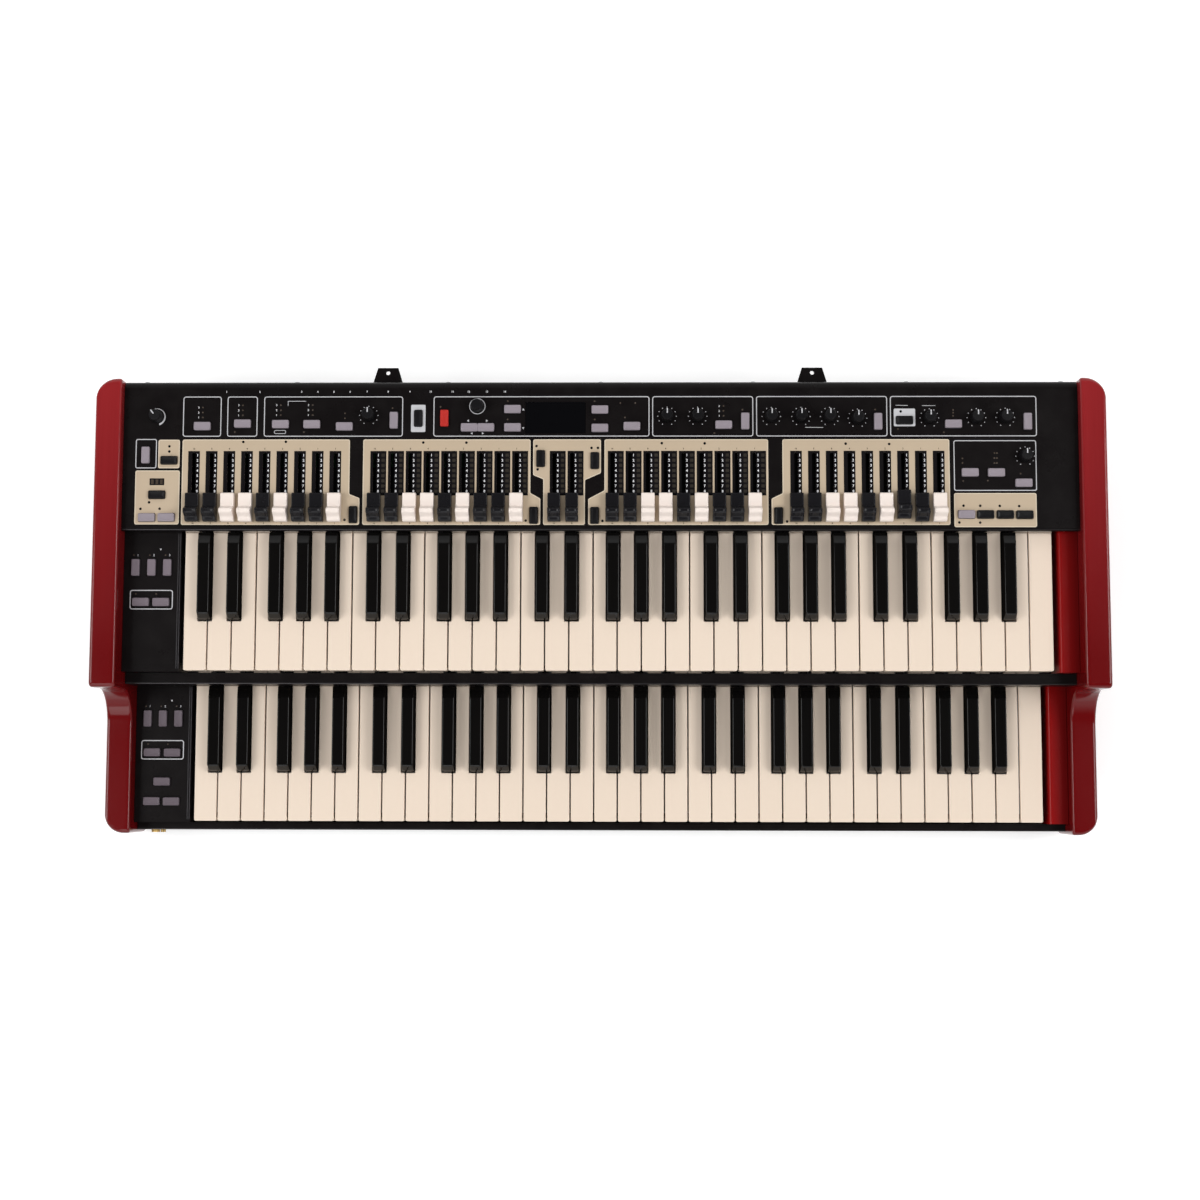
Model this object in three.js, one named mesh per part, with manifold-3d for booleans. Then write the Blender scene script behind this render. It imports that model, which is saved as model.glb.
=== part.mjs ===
// Drawbar organ with two manuals, in millimetres: +X to the player's right, +Y to the rear, +Z up.
// Places along Y are counted from the front of the cheeks; the group at the end centres them.
import * as THREE from "three";
import { mergeVertices } from "three/addons/utils/BufferGeometryUtils.js";
import Module from "manifold-3d";

const wasm = await Module();
wasm.setup();

// Clearances and working allowances
const seatGap = 0.3; // between two pieces that seat on each other
const overrun = 1; // how far a cut passes the face that it opens
const weld = 0.001; // vertices nearer than this are one

// Counts of flats
const arcSteps = 5;
const knobSides = 12;
const footSides = 12;
const boreSides = 10;

// Stock
const sheet = 1.5; // steel sheet of the case
const board = 1.6; // circuit board

// Keys
const octaves = 5;
const naturalsPerOctave = 7;
const naturalCount = octaves * naturalsPerOctave + 1;
const key = {
  pitch: 23.5,
  sideGap: 1,
  capThickness: 4,
  capLength: 139,
  frontHeight: 20,
  frontWall: 3,
  armDrop: 7,
  pivotReach: 192.3,
  visibleLength: 134.8,
};
const sharp = {
  width: 12.2,
  topWidth: 10.4,
  height: 12,
  skirt: 8,
  frontReach: 46.3,
  length: 83.5,
  frontSlope: 10.5,
  rearSlope: 6.9,
  noseHeight: 5,
  noseLean: 2.5,
  tailHeight: 3,
  sideGap: 0.9,
  ribWidth: 5,
  ribStart: 40,
  ribClear: 3,
};
const sharpSeats = [1, 2, 4, 5, 6]; // which joint between naturals each sharp sits over
const sharpShiftShares = [-0.111, 0.111, -0.166, 0, 0.166]; // of the pitch
const keyWeb = { depth: 9.5, thickness: 6, sharpDrop: 23 };

// Key frame under each manual
const keyFrame = { drop: 39, flangeHeight: 8, flangeSetback: 8, riserDrop: 10, pivotGap: 0.8 };

// Where the manuals stand
const lowerManualHeight = 53; // lower playing surface above the underside of the case
const manualRise = 62;
const manualStep = 146.7;

// Key slips, the rails ahead of each manual
const slip = { keyGap: 1.7, topDrop: 12.5, wall: 2.5, edgeRadius: 2, upperDepth: 11, lowerDepth: 7.3 };
const upperSlipHeight = 30.5;
const lowerSlipHeight = 10;

// Blocks at the ends of the manuals
const endBlock = {
  leftWidth: 56,
  rightWidth: 19,
  leftGap: 3,
  rightGap: 5,
  rise: 2,
  wall: 2.5,
  frontHeight: 18,
  edgeRadius: 3,
};
const blockTuck = 4; // how far a block runs on under the lip or slip behind it

// Cheeks
const cheek = {
  thickness: 25,
  frontReach: 3,
  stepReach: 5,
  lowRise: 19,
  topRise: 11,
  rearReach: 1,
  coveRadius: 22,
  edgeRadius: 3,
  toeRadius: 10,
  cornerRadius: 20,
};

// Top panel
const panel = { rise: 16, depth: 147.5, lipDrop: 8, lipRadius: 3, rearRadius: 9, rearDrop: 12.7 };

// Drawbars
const drawbar = {
  travel: 40,
  capWidth: 13,
  capLength: 27.9,
  capHeight: 16,
  capGap: 0.5,
  capRearReach: 36.1,
  stemWidth: 3,
  stemLength: 5.5,
  stemSetback: 0.4,
  armHeight: 2.4,
  whiteArmDrop: 12.5,
  blackArmDrop: 15.5,
  singleArmDrop: 6,
  tieGap: 3,
  tieDepth: 6,
};
const bassCapWidth = 12.4;
// Side outline of a cap: shares of its length from the rear end, and of its height
const capOutlineShares = [
  [0, 0.44],
  [0.04, 0.5],
  [0.43, 0.5],
  [0.52, 0.94],
  [0.58, 1],
  [0.68, 0.97],
  [0.82, 0.69],
  [0.96, 0.41],
  [1, 0.31],
];
// Where the first bar of each row stands, and the step between bars, as shares of the inner width
const barRows = ["a", "b", "bass", "c", "d"];
const barRowShares = [0.075, 0.265, 0.453, 0.5137, 0.7055];
const barPitchShare = 0.01857;
const whiteSeats = [2, 3, 5, 8];
const blackSeats = [0, 1, 4, 6, 7];
// The seventh bar of the last row stands by itself, pushed in a little
const straySeat = 6;
const strayShift = 3;

// Push buttons
const button = { length: 16.3, width: 8, rise: 2.6, travel: 1, webWidth: 4, webThickness: 2 };
const greyWebDrop = 3.7; // from the panel's top to the top of the web that joins the grey buttons
const blackWebDrop = 7;
const blockWebDrop = 4;
const collarWidth = 1.2;

// Knobs
const knob = {
  radius: 6.5,
  height: 12,
  topRadius: 5.9,
  chamfer: 0.8,
  panelGap: 0.5,
  bossRadius: 3,
  holeGap: 0.4,
};
const pot = { size: 11, headGap: 0.4 };

// Display
const display = { width: 58.3, depth: 30.3, rim: 2, rimThickness: 1, rise: 0.2 };

// Circuit boards
const panelBoardDrop = 10.5; // from the panel's top to the board's upper face
const panelBoardInset = 9;
const panelBoardShares = [0.55, 0.93]; // its front and rear edges, along the panel's depth
const mainBoardShare = 0.092; // its left edge, along the inner width
const mainBoard = { width: 260, depth: 150, height: 8, standoff: 6, chip: 24, chipHeight: 2, inset: 10 };
const powerSupply = { width: 62, depth: 96, height: 34, rearGap: 1 };

// Rear sockets
const socketStrip = { depth: 14, height: 24, centreHeight: 52 };
const jackBore = 3.5;
const dinBore = 7.2;
const multiBore = 9;
const usbSocket = { width: 12.5, height: 11.2 };
const inlet = { width: 27.4, height: 19.6, depth: 24, recessWidth: 22.6, recessHeight: 15, recessDepth: 18 };
const inletFlange = { reach: 2.5, thickness: 1.5 };
const inletPin = { width: 2, height: 4.4, length: 11, spacing: 7, lift: 2 };
const rocker = { width: 13, halfHeight: 9.6, depth: 7, bulge: 1.6, swing: 18, endGap: 1.2, sideGap: 0.3 };

// Headphone sockets
const phones = { height: 22, bigRadius: 4.3, bigBore: 3.3, smallRadius: 2.7, smallBore: 1.8, spacing: 7.6 };
const phonesBody = { depth: 12, margin: 3, reach: 5.5, inset: 14 };

// Stand brackets on the rear panel
const bracket = { spacing: 419, reach: 17.7, baseWidth: 31, tipWidth: 20, thickness: 3, flangeHeight: 15 };
const bracketFlange = 2.5;
const bracketDrop = 24.5; // from the panel's top to the bracket's top
const bracketHole = { radius: 2.1, edge: 5 };

// Feet
const foot = { radius: 11, tipRadius: 9.5, height: 8, sideInset: 64, frontInset: 40, rearInset: 42 };

// Finishes
function finish(colour, roughness, metalness = 0) {
  return new THREE.MeshStandardMaterial({ color: colour, roughness, metalness });
}
const finishes = {
  lacquer: finish(0x8c1a1c, 0.3),
  blackMetal: finish(0x1e1c1d, 0.5),
  ivory: finish(0xeadccb, 0.25),
  ebony: finish(0x0c0b0d, 0.15),
  white: finish(0xf6ebe2, 0.35),
  blackPlastic: finish(0x1d1b1f, 0.45),
  grey: finish(0xa399a3, 0.5),
  red: finish(0xd0312c, 0.5),
  steel: finish(0x8d9094, 0.4, 1),
  circuit: finish(0x1f5a34, 0.6),
  brass: finish(0xa8824a, 0.35, 1),
  glass: finish(0x07080a, 0.1),
  rubber: finish(0x161616, 0.9),
};

// Widths and places that follow from the sizes above
const fieldWidth = naturalCount * key.pitch;
const innerWidth =
  endBlock.leftWidth + endBlock.leftGap + fieldWidth + endBlock.rightGap + endBlock.rightWidth;
const left = -innerWidth / 2;
const right = innerWidth / 2;
const fieldLeft = left + endBlock.leftWidth + endBlock.leftGap;
const shellLeft = left + seatGap;
const shellRight = right - seatGap;

const caseBottom = foot.height;
const lowerTop = caseBottom + lowerManualHeight;
const upperTop = lowerTop + manualRise;
const panelTop = upperTop + panel.rise;
const panelUnder = panelTop - sheet;

const lowerSlipFront = cheek.frontReach;
const lowerFront = lowerSlipFront + slip.lowerDepth + slip.keyGap;
const upperFront = lowerFront + manualStep;
const upperSlipFront = upperFront - slip.keyGap - slip.upperDepth;
const panelFront = upperFront + key.visibleLength;
const panelRear = panelFront + panel.depth;
const cheekRear = panelRear + cheek.rearReach;
const depth = panelRear + seatGap + bracket.reach;

// Solids: joining and cutting
function solid(geometry) {
  const bare = geometry.index ? geometry.toNonIndexed() : geometry.clone();
  bare.deleteAttribute("normal");
  bare.deleteAttribute("uv");
  const merged = mergeVertices(bare, weld);
  const triVerts = new Uint32Array(merged.index.array);
  const vertProperties = merged.attributes.position.array;
  return new wasm.Manifold(new wasm.Mesh({ numProp: 3, vertProperties, triVerts }));
}

function joined(parts) {
  return parts.reduce((whole, next) => whole.add(next));
}

function cutBy(body, cutters) {
  return cutters.length ? body.subtract(joined(cutters)) : body;
}

function geometryOf(body) {
  const mesh = body.getMesh();
  const geometry = new THREE.BufferGeometry();
  geometry.setAttribute("position", new THREE.BufferAttribute(new Float32Array(mesh.vertProperties), 3));
  geometry.setIndex(new THREE.BufferAttribute(new Uint32Array(mesh.triVerts), 1));
  const flat = geometry.toNonIndexed();
  flat.computeVertexNormals();
  return flat;
}

// Solids: stock shapes
function block([x0, x1], [y0, y1], [z0, z1]) {
  const box = new THREE.BoxGeometry(x1 - x0, y1 - y0, z1 - z0);
  return solid(box.translate((x0 + x1) / 2, (y0 + y1) / 2, (z0 + z1) / 2));
}

function upright(shape, z0, z1) {
  const body = new THREE.ExtrudeGeometry(shape, {
    depth: z1 - z0,
    bevelEnabled: false,
    curveSegments: arcSteps,
  });
  return solid(body.translate(0, 0, z0));
}

// Turns a side outline, drawn with Y to its right and Z up, so that it runs along X
const alongX = new THREE.Matrix4().makeBasis(
  new THREE.Vector3(0, 1, 0),
  new THREE.Vector3(0, 0, 1),
  new THREE.Vector3(1, 0, 0),
);

function lengthways(shape, x0, x1) {
  const body = new THREE.ExtrudeGeometry(shape, {
    depth: x1 - x0,
    bevelEnabled: false,
    curveSegments: arcSteps,
  });
  return solid(body.applyMatrix4(alongX).translate(x0, 0, 0));
}

function outline(points) {
  return new THREE.Shape(points.map(([a, b]) => new THREE.Vector2(a, b)));
}

function uprightRod(x, y, radius, z0, z1, sides) {
  const rod = new THREE.CylinderGeometry(radius, radius, z1 - z0, sides).rotateX(Math.PI / 2);
  return solid(rod.translate(x, y, (z0 + z1) / 2));
}

// A bore keeps its radius between the flats, where the plug that enters it would touch.
function boreAlongY(x, z, radius, y0, y1) {
  return rodAlongY(x, z, radius / Math.cos(Math.PI / boreSides), y0, y1, boreSides);
}

function rodAlongY(x, z, radius, y0, y1, sides) {
  const rod = new THREE.CylinderGeometry(radius, radius, y1 - y0, sides);
  rod.rotateY(Math.PI / sides);
  return solid(rod.translate(x, (y0 + y1) / 2, z));
}

// Around a middle, plus and minus half a size
function about(middle, size) {
  return [middle - size / 2, middle + size / 2];
}

// Cheeks
function cheekSide() {
  const top = panelTop + cheek.topRise;
  const low = lowerTop + cheek.lowRise;
  const step = upperSlipFront - cheek.stepReach;
  const { edgeRadius: r, coveRadius: cove, toeRadius: toe } = cheek;
  const side = new THREE.Shape();
  side.moveTo(toe, caseBottom);
  side.lineTo(cheekRear, caseBottom);
  side.lineTo(cheekRear, top - r);
  side.absarc(cheekRear - r, top - r, r, 0, Math.PI / 2, false);
  side.lineTo(step + r, top);
  side.absarc(step + r, top - r, r, Math.PI / 2, Math.PI, false);
  side.lineTo(step, low + cove);
  side.absarc(step - cove, low + cove, cove, 0, -Math.PI / 2, true);
  side.lineTo(r, low);
  side.absarc(r, low - r, r, Math.PI / 2, Math.PI, false);
  side.lineTo(0, caseBottom + toe);
  side.absarc(toe, caseBottom + toe, toe, Math.PI, Math.PI * 1.5, false);
  return side;
}

function cheekPlan(inner, outer) {
  const away = Math.sign(outer - inner);
  const r = cheek.cornerRadius;
  const bend = outer - away * r;
  const plan = new THREE.Shape();
  plan.moveTo(inner, 0);
  plan.lineTo(bend, 0);
  plan.absarc(bend, r, r, -Math.PI / 2, away > 0 ? 0 : -Math.PI, away < 0);
  plan.lineTo(outer, cheekRear - r);
  plan.absarc(bend, cheekRear - r, r, away > 0 ? 0 : Math.PI, Math.PI / 2, away < 0);
  plan.lineTo(inner, cheekRear);
  return plan;
}

function cheekBoard(inner, outer) {
  const side = lengthways(cheekSide(), Math.min(inner, outer), Math.max(inner, outer));
  const plan = upright(cheekPlan(inner, outer), 0, panelTop + cheek.topRise + overrun);
  return side.intersect(plan);
}

// Case
const panFront = lowerSlipFront + (slip.wall - sheet);
const lowerSlipTop = lowerTop - slip.topDrop;
const panWallTop = lowerSlipTop - lowerSlipHeight - seatGap;
const rearFace = panelRear;
const rearInside = rearFace - sheet;
const phonesHeight = caseBottom + phones.height;
const phonesLeft = shellLeft + phonesBody.inset;
const socketMiddle = caseBottom + socketStrip.centreHeight;
const [socketBottom, socketTop] = about(socketMiddle, socketStrip.height);

function bottomPan() {
  const side = outline([
    [panFront, caseBottom],
    [rearFace, caseBottom],
    [rearFace, socketBottom - seatGap],
    [rearInside, socketBottom - seatGap],
    [rearInside, caseBottom + sheet],
    [panFront + sheet, caseBottom + sheet],
    [panFront + sheet, panWallTop],
    [panFront, panWallTop],
  ]);
  const through = [panFront - overrun, panFront + sheet + overrun];
  return cutBy(lengthways(side, shellLeft, shellRight), [
    boreAlongY(phonesLeft, phonesHeight, phones.bigRadius + seatGap, ...through),
    boreAlongY(phonesLeft + phones.spacing, phonesHeight, phones.smallRadius + seatGap, ...through),
  ]);
}

// Socket places, as shares of the width between the cheeks
const socketShares = [
  { kind: "multi", x: 0.108 },
  { kind: "jack", x: 0.143 },
  { kind: "jack", x: 0.187 },
  { kind: "jack", x: 0.204 },
  { kind: "jack", x: 0.221 },
  { kind: "jack", x: 0.238 },
  { kind: "jack", x: 0.256 },
  { kind: "jack", x: 0.278 },
  { kind: "din", x: 0.301 },
  { kind: "din", x: 0.323 },
  { kind: "jack", x: 0.346 },
  { kind: "jack", x: 0.363 },
  { kind: "usb", x: 0.382 },
  { kind: "jack", x: 0.401 },
];
const inletShare = 0.663;
const rockerShare = 0.713;
const across = (share) => left + share * innerWidth;
const inletX = across(inletShare);
const rockerX = across(rockerShare);

function grown([low, high], by) {
  return [low - by, high + by];
}

// The rear wall stands on the strip that holds the sockets, the inlet and the rocker.
function rearPanel() {
  const top = panelTop - panel.rearDrop - seatGap;
  return block([shellLeft, shellRight], [rearInside, rearFace], [socketTop + seatGap, top]);
}

function socketBore({ kind, x }, through) {
  const middle = across(x);
  if (kind === "usb") {
    return block(about(middle, usbSocket.width), through, about(socketMiddle, usbSocket.height));
  }
  const radius = { jack: jackBore, din: dinBore, multi: multiBore }[kind];
  return boreAlongY(middle, socketMiddle, radius, ...through);
}

function rearSocketField() {
  const span = [rearFace - socketStrip.depth, rearFace];
  const through = grown(span, overrun);
  return cutBy(block([shellLeft, shellRight], span, [socketBottom, socketTop]), [
    ...socketShares.map((socket) => socketBore(socket, through)),
    block(
      grown(about(inletX, inlet.width), seatGap),
      through,
      grown(about(socketMiddle, inlet.height), seatGap),
    ),
    block(
      grown(about(rockerX, rocker.width), rocker.sideGap),
      through,
      grown(about(socketMiddle, 2 * rocker.halfHeight), rocker.endGap),
    ),
  ]);
}

function powerInlet() {
  const back = rearFace - inlet.depth;
  const rim = rearFace + seatGap + inletFlange.thickness;
  const body = joined([
    block(about(inletX, inlet.width), [back, rim], about(socketMiddle, inlet.height)),
    block(
      grown(about(inletX, inlet.width), inletFlange.reach),
      [rearFace + seatGap, rim],
      grown(about(socketMiddle, inlet.height), inletFlange.reach),
    ),
  ]);
  const floor = rim - inlet.recessDepth;
  const recess = block(
    about(inletX, inlet.recessWidth),
    [floor, rim + overrun],
    about(socketMiddle, inlet.recessHeight),
  );
  const pins = [-1, 0, 1].map((side) =>
    block(
      about(inletX + side * inletPin.spacing, inletPin.width),
      [floor - overrun, floor + inletPin.length],
      about(socketMiddle + (side ? -inletPin.lift : inletPin.lift), inletPin.height),
    ),
  );
  return joined([body.subtract(recess), ...pins]);
}

// The rocker turns about its middle in the panel's plane and rests with its upper end out.
const rockerAxisY = rearFace - sheet / 2;
function powerRocker() {
  const { halfHeight: h, depth: back, bulge, swing } = rocker;
  const side = outline([
    [sheet / 2, -h],
    [bulge, -h],
    [sheet / 2, 0],
    [bulge, h],
    [sheet / 2, h],
    [-sheet / 2, h],
    [-back, h / 2],
    [-back, -h / 2],
    [-sheet / 2, -h],
  ]);
  const body = new THREE.ExtrudeGeometry(side, { depth: rocker.width, bevelEnabled: false });
  body.translate(0, 0, -rocker.width / 2).rotateZ(THREE.MathUtils.degToRad(-swing / 2));
  return body.applyMatrix4(alongX);
}

// Key slips
function keySlip(front, rear, top, height) {
  const { wall, edgeRadius: r } = slip;
  const side = new THREE.Shape();
  side.moveTo(front, top - height);
  side.lineTo(front + wall, top - height);
  side.lineTo(front + wall, top - wall);
  side.lineTo(rear, top - wall);
  side.lineTo(rear, top);
  side.lineTo(front + r, top);
  side.absarc(front + r, top - r, r, Math.PI / 2, Math.PI, false);
  return lengthways(side, shellLeft, shellRight);
}

// Keys. Each manual's naturals are joined at the rear, and so are its sharps.
function sharpCentre(octave, seat) {
  const joint = octave * naturalsPerOctave + sharpSeats[seat];
  return fieldLeft + (joint + sharpShiftShares[seat]) * key.pitch;
}

function sharpCentres() {
  const octaveList = [...Array(octaves).keys()];
  return octaveList.flatMap((octave) => sharpSeats.map((_, seat) => sharpCentre(octave, seat)));
}

// Left and right edges of a natural's narrow part, beside the sharps
function tailSpan(index) {
  const low = fieldLeft + index * key.pitch + key.sideGap / 2;
  const high = low + key.pitch - key.sideGap;
  const reach = sharp.width / 2 + sharp.sideGap;
  const near = sharpCentres().filter((x) => x + reach > low && x - reach < high);
  const from = Math.max(low, ...near.filter((x) => x < (low + high) / 2).map((x) => x + reach));
  const to = Math.min(high, ...near.filter((x) => x > (low + high) / 2).map((x) => x - reach));
  return [from, to];
}

function naturalKey(index, front, top) {
  const low = fieldLeft + index * key.pitch + key.sideGap / 2;
  const high = low + key.pitch - key.sideGap;
  const notch = front + sharp.frontReach - sharp.sideGap;
  const capEnd = front + key.capLength;
  const rear = front + key.pivotReach - keyWeb.depth / 2;
  const arm = top - key.armDrop;
  const thick = key.capThickness;
  const tail = outline([
    [front + key.frontWall, top - thick],
    [capEnd - thick, top - thick],
    [capEnd - thick, arm - thick],
    [rear, arm - thick],
    [rear, arm],
    [capEnd, arm],
    [capEnd, top],
    [front + key.frontWall, top],
  ]);
  return joined([
    block([low, high], [front, notch], [top - thick, top]),
    block([low, high], [front, front + key.frontWall], [top - key.frontHeight, top]),
    lengthways(tail, ...tailSpan(index)),
  ]);
}

function keyWebBar(front, top, drop) {
  const rear = front + key.pivotReach;
  const span = [fieldLeft + key.sideGap, fieldLeft + fieldWidth - key.sideGap];
  return block(span, [rear - keyWeb.depth, rear], [top - drop - keyWeb.thickness, top - drop]);
}

function naturals(front, top) {
  const keys = [...Array(naturalCount).keys()].map((index) => naturalKey(index, front, top));
  return joined([...keys, keyWebBar(front, top, key.armDrop)]);
}

function sharpKey(centre, front, top) {
  const nose = front + sharp.frontReach;
  const tail = nose + sharp.length;
  const side = outline([
    [nose, top - sharp.skirt],
    [tail, top - sharp.skirt],
    [tail, top + sharp.tailHeight],
    [tail - sharp.rearSlope, top + sharp.height],
    [nose + sharp.frontSlope, top + sharp.height],
    [nose + sharp.noseLean, top + sharp.noseHeight],
  ]);
  const body = new THREE.ExtrudeGeometry(side, { depth: sharp.width, bevelEnabled: false });
  body.translate(0, 0, -sharp.width / 2).applyMatrix4(alongX);
  const place = body.attributes.position;
  for (let i = 0; i < place.count; i += 1) {
    const rise = Math.max(0, (place.getZ(i) - top) / sharp.height);
    place.setX(i, place.getX(i) * (1 - rise * (1 - sharp.topWidth / sharp.width)));
  }
  const webTop = top - keyWeb.sharpDrop;
  const webBottom = webTop - keyWeb.thickness;
  const rear = front + key.pivotReach;
  const step = rear - keyWeb.depth - sharp.ribClear;
  const rib = outline([
    [nose + sharp.ribStart, top],
    [nose + sharp.ribStart, webBottom],
    [rear - keyWeb.depth / 2, webBottom],
    [rear - keyWeb.depth / 2, webTop],
    [step, webTop],
    [step, top - sharp.skirt],
    [tail - sharp.rearSlope, top - sharp.skirt],
    [tail - sharp.rearSlope, top],
  ]);
  return joined([solid(body.translate(centre, 0, 0)), lengthways(rib, ...about(centre, sharp.ribWidth))]);
}

function sharps(front, top) {
  const keys = sharpCentres().map((centre) => sharpKey(centre, front, top));
  return joined([...keys, keyWebBar(front, top, keyWeb.sharpDrop)]);
}

function keyFrameBed(front, top) {
  const plate = top - keyFrame.drop;
  const rear = front + key.pivotReach + keyFrame.pivotGap;
  const nose = front + keyFrame.flangeSetback;
  const side = outline([
    [nose, plate - keyFrame.flangeHeight],
    [nose + sheet, plate - keyFrame.flangeHeight],
    [nose + sheet, plate - sheet],
    [rear + sheet, plate - sheet],
    [rear + sheet, top - keyFrame.riserDrop],
    [rear, top - keyFrame.riserDrop],
    [rear, plate],
    [nose, plate],
  ]);
  return lengthways(side, shellLeft, shellRight);
}

// Push buttons: a cap in a hole of the panel, and webs under it that join a group
function buttonSpan([x, y, way]) {
  const lying = way === "lying";
  return [
    about(x, lying ? button.length : button.width),
    about(y, lying ? button.width : button.length),
  ];
}

function buttonHoles(places, z) {
  return places.map((place) => {
    const [spanX, spanY] = buttonSpan(place);
    return block(grown(spanX, seatGap), grown(spanY, seatGap), z);
  });
}

function buttonGroup(places, webs, top, webDrop) {
  const webTop = top - webDrop;
  const webBottom = webTop - button.webThickness;
  const caps = places.map((place) => block(...buttonSpan(place), [webBottom, top + button.rise]));
  const bars = webs.map(([[x0, y0], [x1, y1]]) => {
    const half = button.webWidth / 2;
    const spanX = [Math.min(x0, x1) - half, Math.max(x0, x1) + half];
    const spanY = [Math.min(y0, y1) - half, Math.max(y0, y1) + half];
    return block(spanX, spanY, [webBottom, webTop]);
  });
  return joined([...caps, ...bars]);
}

// Places on the panel, as shares of the width between the cheeks and of the panel's depth
const onPanel = ([x, y, way]) => [across(x), panelFront + y * panel.depth, way];
const placed = (webShares, place) => webShares.map((web) => web.map(place));

const greyButtonShares = [
  [0.083, 0.695, "lying"],
  [0.126, 0.711, "lying"],
  [0.165, 0.708, "lying"],
  [0.198, 0.708, "lying"],
  [0.233, 0.692, "lying"],
  [0.285, 0.734, "standing"],
  [0.363, 0.685, "lying"],
  [0.381, 0.685, "lying"],
  [0.409, 0.807, "lying"],
  [0.409, 0.685, "lying"],
  [0.501, 0.804, "lying"],
  [0.501, 0.681, "lying"],
  [0.534, 0.694, "lying"],
  [0.63, 0.702, "lying"],
  [0.653, 0.727, "standing"],
  [0.791, 0.724, "standing"],
  [0.87, 0.708, "lying"],
  [0.947, 0.724, "standing"],
  [0.886, 0.384, "lying"],
  [0.914, 0.384, "lying"],
  [0.942, 0.315, "lying"],
  [0.882, 0.106, "lying"],
  [0.024, 0.502, "standing"],
  [0.027, 0.086, "lying"],
  [0.047, 0.086, "lying"],
];
const greyPlaces = greyButtonShares.map(onPanel);

// A long web runs in front of the top row, with a short one back to each of the row's buttons.
const topRowCount = 18;
const mainWebShare = 0.635;
const topRowShares = greyButtonShares.slice(0, topRowCount);
const greyWebShares = [
  [[0.022, mainWebShare], [0.947, mainWebShare]],
  [[0.022, 0.086], [0.022, mainWebShare]],
  [[0.022, 0.086], [0.047, 0.086]],
  [[0.9, 0.384], [0.9, mainWebShare]],
  [[0.882, 0.384], [0.914, 0.384]],
  [[0.914, 0.315], [0.914, 0.384]],
  [[0.914, 0.315], [0.942, 0.315]],
  [[0.882, 0.106], [0.882, 0.384]],
  ...topRowShares.map(([x, y]) => [[x, mainWebShare], [x, y]]),
];

const blackButtonShares = [
  [0.819, 0.733, "lying"],
  [0.902, 0.106, "lying"],
  [0.922, 0.106, "lying"],
  [0.943, 0.106, "lying"],
  [0.049, 0.467, "lying"],
  [0.037, 0.237, "lying"],
  [0.31, 0.747, "standing"],
  [0.439, 0.478, "standing"],
  [0.495, 0.464, "standing"],
  [0.243, 0.1, "standing"],
  [0.432, 0.1, "standing"],
  [0.495, 0.1, "standing"],
  [0.687, 0.1, "standing"],
];
const blackPlaces = blackButtonShares.map(onPanel);

// A long web runs ahead of the drawbars, with branches back between them.
const frontWebShare = 0.1;
const blackWebShares = [
  [[0.037, frontWebShare], [0.943, frontWebShare]],
  [[0.037, frontWebShare], [0.037, 0.237]],
  [[0.037, 0.237], [0.049, 0.237]],
  [[0.049, 0.237], [0.049, 0.467]],
  [[0.31, frontWebShare], [0.31, 0.747]],
  [[0.439, frontWebShare], [0.439, 0.478]],
  [[0.495, frontWebShare], [0.495, 0.464]],
  [[0.826, frontWebShare], [0.826, 0.733]],
];
const storeButtonShares = [0.338, 0.747, "standing"];
const storePlace = onPanel(storeButtonShares);

function storeButton() {
  const [spanX, spanY] = buttonSpan(storePlace);
  const collarTop = panelUnder - button.travel / 2;
  const collar = [collarTop - button.webThickness, collarTop];
  return joined([
    block(spanX, spanY, [collar[0], panelTop + button.rise]),
    block(grown(spanX, collarWidth), grown(spanY, collarWidth), collar),
  ]);
}

// Places on a left block, as shares of its width and of the visible length of the keys
const onBlock = (front) => ([x, y, way]) => [
  left + x * endBlock.leftWidth,
  front + y * key.visibleLength,
  way,
];
const upperBlockButtonShares = [
  [0.211, 0.743, "standing"],
  [0.488, 0.743, "standing"],
  [0.765, 0.743, "standing"],
  [0.314, 0.493, "lying"],
  [0.668, 0.493, "lying"],
];
const upperBlockWebShares = [
  [[0.211, 0.743], [0.765, 0.743]],
  [[0.488, 0.493], [0.488, 0.743]],
  [[0.314, 0.493], [0.668, 0.493]],
];
const lowerBlockButtonShares = [
  [0.211, 0.756, "standing"],
  [0.486, 0.756, "standing"],
  [0.761, 0.756, "standing"],
  [0.302, 0.504, "lying"],
  [0.663, 0.504, "lying"],
  [0.489, 0.289, "lying"],
  [0.312, 0.143, "lying"],
  [0.664, 0.143, "lying"],
];
const lowerBlockWebShares = [
  [[0.211, 0.756], [0.761, 0.756]],
  [[0.302, 0.504], [0.663, 0.504]],
  [[0.312, 0.143], [0.664, 0.143]],
  [[0.486, 0.143], [0.486, 0.756]],
];

// Blocks at the ends of the manuals
function controlBlock(front, rear, keyTop, buttons) {
  const top = keyTop + endBlock.rise;
  const base = keyTop - keyFrame.drop + seatGap;
  const edge = left + endBlock.leftWidth;
  const { wall } = endBlock;
  const shell = joined([
    block([shellLeft, edge], [front, rear], [top - wall, top]),
    block([shellLeft, edge], [front, front + wall], [top - endBlock.frontHeight, top]),
    block([edge - wall, edge], [front, rear], [base, top]),
  ]);
  return cutBy(shell, buttonHoles(buttons, [top - wall - overrun, top + overrun]));
}

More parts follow.
